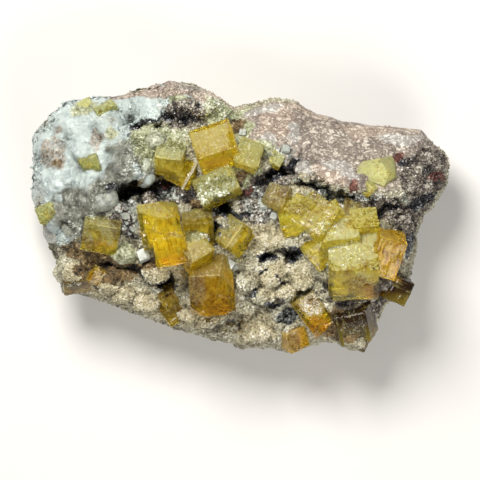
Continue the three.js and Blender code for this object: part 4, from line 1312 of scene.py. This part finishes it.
def fluorite_material(kind):
    looks = Looks(f"fluorite_{kind}")
    look = USUAL_LOOK | FLUORITE_LOOKS[kind]
    striped = look["striped"]
    fine, cloud, mottle = (looks.noise(*values) for values in FLUORITE_NOISES.values())
    streaks = looks.noise(*STREAK_NOISE, place=looks.stretched("own", STREAKS))
    wisps = looks.noise(*WISP_NOISE, bend=WISP_BEND)
    patchy = looks.blend((looks.stretch(mottle, -1, 1), 0.35), (looks.stretch(wisps, -1, 1), look["wispy"]))
    # Painted highlight along each crystal's edges, strongest at the edge
    rim = looks.spread(looks.stored("edge"), 0.0, 0.25, 0.7, 0.0)
    frost = looks.spread(looks.maths("ADD", looks.stored("frost"), patchy), 0.15, 0.85)
    frost = looks.maths("MULTIPLY", frost, looks.spread(looks.stored("frost"), 0.0, 0.3))
    frost = looks.maths("MULTIPLY", frost, looks.spread(rim, 0.0, 1.0, 1.0, 0.4))
    spotty = wisps if kind == "pale" else mottle
    veins = looks.blend((streaks, striped), (cloud, 0.3), (spotty, 0.7 - striped))
    clear = looks.stored("tint", "Color")
    clear = looks.shaded(clear, veins, *VEIN_SHADES)
    clear = looks.toward(clear, looks.spread(veins, 0.53, 0.62, 0.0, 0.6), VEIN_LIGHT)
    # Painted light: each crystal's low part, towards -Y, is lightened as if light came out through it
    clear = looks.toward(clear, looks.maths("MULTIPLY", looks.stored("low"), 0.5), LOW_PAINTED_LIGHT)
    clear = looks.toward(clear, looks.maths("MULTIPLY", looks.stored("orange"), 0.8), ORANGE_LIGHT)
    grit = looks.blend((fine, 0.5), (mottle, 0.5))
    film = looks.stored("mist", "Color")
    film = looks.shaded(film, grit, *FILM_SHADES)
    film = looks.toward(film, looks.spread(looks.cells(SPARKLE), 0.84, 0.92, 0.0, 0.7), FILM_SPARKLE)
    share = looks.maths("MULTIPLY", frost, looks.spread(grit, 0.36, 0.6, 0.5, 0.95))
    colour = looks.mix(share, clear, film)
    brown = looks.spread(looks.blend((mottle, 0.45), (fine, 0.25), (wisps, 0.3)), 0.42, 0.58, 1.0, 0.15)
    brown = looks.maths("MULTIPLY", looks.stored("tawny"), brown)
    colour = looks.mix(brown, colour, looks.mix(1.0, colour, hex_colour(TAWNY_SHADE), "MULTIPLY"))
    # Painted highlight: the edges take the look's edge colour
    colour = looks.toward(colour, rim, look["edges"])
    looks.bump(looks.blend((grit, frost), (streaks, 0.15)), look["dents"])
    looks.set(Base_Color=colour, IOR=FLUORITE_IOR, Roughness=looks.spread(frost, 0.0, 1.0, *look["rough"]))
    looks.set(Transmission_Weight=looks.spread(frost, 0.0, 1.0, look["clear"], 0.55))
    inside = looks.tree.nodes.new("ShaderNodeVolumeAbsorption")
    inside.inputs["Color"].default_value = (*look["passing"], 1.0)
    inside.inputs["Density"].default_value = look["density"]
    looks.join(looks.tree.nodes["Material Output"].inputs["Volume"], inside.outputs[0])
    return looks.material


def dress(piece, material, slot_name, *nodes):
    """Gives a piece its material, and lets it stand for CAD nodes."""
    piece.data.materials.clear()
    piece.data.materials.append(material)
    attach(piece, "root")
    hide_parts(*nodes)


# Stage

# Lights: place, width, power in watts and colour. They face LIT_PLACE, and the sky is even and dim.
# Lengths in this part are in metres
LIGHTS = {
    "key": ((-0.12, 0.24, 0.40), 0.22, 2.9, (1.0, 0.98, 0.95)),
    "fill": ((0.16, -0.34, 0.35), 0.3, 1.5, (1.0, 0.98, 0.96)),
}
LIT_PLACE = (0.0, 0.0, 0.025)
SKY_COLOUR = (0.85, 0.87, 0.9, 1)
SKY_STRENGTH = 0.22
FLOOR_DROP = 0.0002

# The floor, in millimetres
FLOOR_HALF = 2000.0
FLOOR_COLOUR = "#DEDCD8"
FLOOR_ROUGHNESS = 0.9


def add_light(name, place, width, power, colour):
    data = bpy.data.lights.new(name, "AREA")
    data.shape = "DISK"
    data.size = width
    data.energy = power
    data.color = colour
    light = bpy.data.objects.new(name, data)
    light.location = place
    light.rotation_euler = (Vector(LIT_PLACE) - Vector(place)).to_track_quat("-Z", "Y").to_euler()
    bpy.context.scene.collection.objects.link(light)


def set_stage():
    corners = FLOOR_HALF * np.array([[-1, -1, 0], [1, -1, 0], [1, 1, 0], [-1, 1, 0]])
    floor = mesh_object("floor", corners, [[0, 1, 2, 3]])
    floor.location.z = -FLOOR_DROP
    look = Looks("floor").set(Base_Color=hex_colour(FLOOR_COLOUR), Roughness=FLOOR_ROUGHNESS)
    floor.data.materials.append(look.material)
    for name, values in LIGHTS.items():
        add_light(name, *values)
    world = bpy.data.worlds.new("studio")
    world.use_nodes = True
    world.node_tree.nodes["Background"].inputs["Color"].default_value = SKY_COLOUR
    world.node_tree.nodes["Background"].inputs["Strength"].default_value = SKY_STRENGTH
    bpy.context.scene.world = world
    bpy.context.scene.view_settings.view_transform = "Standard"


# The camera looks straight down, from far enough to see the piece almost without perspective
VIEW_WIDTH = 115.2
VIEW_MIDDLE = (-0.24, -5.16)
VIEW_HEIGHT = 30.0
CAMERA_DISTANCE = 1200.0
SENSOR = 36.0


def set_camera():
    data = bpy.data.cameras.new("camera")
    data.sensor_width = SENSOR
    data.lens = SENSOR * CAMERA_DISTANCE / VIEW_WIDTH
    data.clip_start = 0.01
    camera = bpy.data.objects.new("camera", data)
    camera.location = (VIEW_MIDDLE[0] * MM, VIEW_MIDDLE[1] * MM, (VIEW_HEIGHT + CAMERA_DISTANCE) * MM)
    bpy.context.scene.collection.objects.link(camera)
    bpy.context.scene.camera = camera


# Assembly

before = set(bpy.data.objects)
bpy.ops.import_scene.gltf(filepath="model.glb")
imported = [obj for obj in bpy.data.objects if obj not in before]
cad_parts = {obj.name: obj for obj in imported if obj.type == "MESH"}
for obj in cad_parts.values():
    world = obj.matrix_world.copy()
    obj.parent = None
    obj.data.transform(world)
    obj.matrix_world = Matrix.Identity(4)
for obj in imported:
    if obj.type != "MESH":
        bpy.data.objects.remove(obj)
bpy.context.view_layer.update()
set_camera()
set_stage()
rng = np.random.default_rng(SEED)

HOLLOWS = hollow_map()
host = rock_shell()
quartz = host.copy()
quartz.data = host.data.copy()
quartz.name = "quartz"
bpy.context.scene.collection.objects.link(quartz)
combine(quartz, quartz_space(), "INTERSECT")
combine(host, quartz_space(), "DIFFERENCE")
paint_rock(host)
dress(host, rock_material("rock", HARD), "host_rock", "host_rock")
paint_rock(quartz)
white_quartz = rock_material("white_quartz", SOFT)
dress(quartz, white_quartz, "quartz", "quartz_mass")

# Depth of a grain in shares of its width
GRAIN_DEPTHS = (0.8, 1.1)

# Where grains grow: above a height, on faces that don't look down too far, and clear of the crystals by
# a gap. Sugary quartz is thinner in dark fields, and lumps are thicker in green ones
LEAST_HEIGHT = 9
SUGAR_DOWN = -0.1
QUARTZ_DOWN = -0.2
OPEN_GAP = 0.1
GREEN_LUMPS = 3
WHITE_SHARE = 0.3
DARK_SHARE = 0.8
CRUST_FACES = (-0.3, 0.2)
GROWN_FACES = (0.05, 0.5)


def lies_open(points):
    """True for points with no crystal on them or close above them."""
    covered = [
        inside_crystals(points + np.array([0, 0, lift]), OPEN_GAP - OPEN_GAP * lift) for lift in SHINE_LIFTS
    ]
    return ~np.any(covered, axis=0)


def sugar_weight(points, normals):
    bare = 1 - np.maximum(rock_field(points, "brown"), DARK_SHARE * rock_field(points, "dark"))
    return bare * (normals[:, 2] > SUGAR_DOWN) * (points[:, 2] > LEAST_HEIGHT) * lies_open(points)


def lump_weight(points, normals):
    return sugar_weight(points, normals) * (1 + GREEN_LUMPS * rock_field(points, "green"))


def dark_weight(points, normals):
    druse = np.maximum(rock_field(points, "dark"), rock_field(points, "mixed"))
    return druse * (points[:, 2] > LEAST_HEIGHT) * lies_open(points)


def glint_weight(points, normals):
    return field(points, GLINTS) * (normals[:, 2] > 0) * lies_open(points)


def white_weight(points, normals):
    return (WHITE_SHARE + rock_field(points, "grey")) * (normals[:, 2] > QUARTZ_DOWN) * lies_open(points)


def crust_weight(points, normals):
    return smooth_step(*CRUST_FACES, normals[:, 2])


def grown_weight(points, normals):
    return field(points, PLACES["grown"], 0.6) * smooth_step(*GROWN_FACES, normals[:, 2])


def sized(count, least, most, stretch):
    """Half sizes along X, Y and Z for that many grains."""
    across = rng.uniform(least, most, count)
    deep = across * rng.uniform(*GRAIN_DEPTHS, count)
    return np.stack([across, deep, across * rng.uniform(1, stretch, count)], axis=-1)


def add_grains(name, piece, count, sizes, weight, spread, material, *home, template=OCTAHEDRON, sunk=0.0):
    """Scatters grains over a piece and dresses them: sizes are least, most, and most stretch."""
    spots, ways = scatter(piece, count, weight, rng)
    made = grains(name, template, spots, ways, sized(count, *sizes), spread, sunk, rng)
    dress(made, material, *home)


def add_single(name, place, size, stand, material, seed):
    """One small quartz crystal of an even tone."""
    single = crystal_mesh(f"small_crystal_{name}", place, size, stand, bevel=0.1, cells=6, seed=seed)
    store(single, "tone", np.full(len(single.data.vertices), 0.5))
    dress(single, material, "host_rock", "host_rock")


add_grains("sugar_quartz", host, 15000, (0.2, 0.42, 1.5), sugar_weight, 0.6,
           grain_material("sugar", None, 0.55), "host_rock", "host_rock")
add_grains("dark_druse", host, 7000, (0.18, 0.45, 1.5), dark_weight, 0.8,
           grain_material("druse", None, 0.25), "host_rock", "host_rock")
add_grains("lump_quartz", host, 1000, (0.5, 1.1, 1.2), lump_weight, 0.7,
           grain_material("lumps", None, 0.4), "host_rock", "host_rock", sunk=0.5)
add_grains("quartz_crystals", quartz, 900, (0.2, 0.5, 1.3), white_weight, 0.5,
           grain_material("quartz_crystals", None, 0.3), "quartz", "quartz_mass", sunk=0.6)
GLINTING = [(0.0, "#4E504C"), (0.4, "#8E918A"), (0.8, "#C4C8C0"), (1.0, "#E4E8E2")]
add_grains("grey_druse", host, 700, (0.12, 0.34, 1.5), glint_weight, 0.5,
           grain_material("glinting", GLINTING, 0.3), "host_rock", "host_rock", template=CUBE)

SINGLE_LIFT = 0.35
clear = grain_material("clear_quartz", [(0.0, "#B8BEB4"), (1.0, "#D2D6CA")], 0.4, 0.2)
for number, (x, y, edge, stand) in enumerate(SINGLES):
    add_single(number, (x, y, rock_height(x, y) + SINGLE_LIFT * edge), (edge,) * 3, stand, clear, number)

CRUST_GRAINS = 60
crusted = rock_material("crusted", HARD)
for number, (middle, half) in enumerate(CRUSTS):
    crust = crust_mesh(f"crust_{number}", middle, half)
    paint_rock(crust, lit_by_crystals=False)
    dress(crust, crusted, "host_rock", "host_rock")
    count = int(CRUST_GRAINS * half[0] * half[1])
    coat = grain_material(f"crust_grains_{number}", None, 0.45)
    add_grains(f"crust_grains_{number}", crust, count, (0.15, 0.42, 1.4), crust_weight, 0.6, coat,
               "host_rock", "host_rock", sunk=0.2)

LUMP_SINK = 0.2
for number, (x, y, half, shares) in enumerate(LUMPS):
    middle = (x, y, rock_height(x, y) - LUMP_SINK * half[2])
    lump = crust_mesh(f"quartz_lump_{number}", middle, half, 0.6)
    for measure in (*FIELDS, "hollow_shade", "crystal_light"):
        store(lump, measure, np.full(len(lump.data.vertices), shares.get(measure, 0.0)))
    dress(lump, white_quartz, "quartz", "quartz_mass")

# Colours of the grains grown on the fluorite
COATS = {
    "pale": [(0.0, "#4E4C22"), (0.4, "#7E7C46"), (0.7, "#A2A272"), (0.9, "#C8CAAA"), (1.0, "#EEF0E2")],
    "bright": [(0.0, "#C4BE5C"), (0.4, "#E4E3A0"), (0.7, "#F0F1CC"), (1.0, "#FBFBF2")],
    "bare": [(0.0, "#8C7C5C"), (0.4, "#BCAE90"), (0.8, "#E0D8C4"), (1.0, "#F6F2EA")],
    "dull": [(0.0, "#1A130A"), (0.4, "#352A1B"), (0.8, "#5E5038"), (1.0, "#A09478")],
}

# The grains on each body: how many, least and most half size, and colour
COATED = {
    "summit": (420, 0.2, 0.7, "pale"), "cluster": (200, 0.12, 0.35, "bright"),
    "spear": (220, 0.14, 0.4, "bare"), "heart": (160, 0.14, 0.4, "pale"), "gable": (60, 0.14, 0.4, "pale"),
    "west": (160, 0.14, 0.4, "pale"), "smoky_south": (220, 0.15, 0.4, "dull"),
    "speck": (60, 0.12, 0.3, "pale"),
}
materials = {look: fluorite_material(look) for look in FLUORITE_LOOKS}
coats = {coat: grain_material(f"{coat}_grains", stops, 0.4) for coat, stops in COATS.items()}
for name, (look, crystals) in FLUORITE.items():
    body = fluorite_body(name, crystals, GROWTHS.get(name, 2), rng)
    home = ("smoky_fluorite" if name.startswith("smoky") else "fluorite", f"fluorite_{name}")
    dress(body, materials[look], *home)
    if name in COATED:
        count, least, most, coat = COATED[name]
        add_grains(f"{name}_grains", body, count, (least, most, 1.3), grown_weight, 0.5, coats[coat], *home,
                   sunk=0.3)

# A thin blade of quartz that leans on the crystals below the summit
BLADE_MIDDLE = (-12.4, 10.1, 34.0)
BLADE_SIZE = (7.4, 0.7, 0.6)
BLADE_STAND = (61, 6, 0)
blade_look = grain_material("blade", [(0.0, "#A89C78"), (1.0, "#BDB28E")], 0.3, 0.3)
add_single("blade", BLADE_MIDDLE, BLADE_SIZE, BLADE_STAND, blade_look, 20)
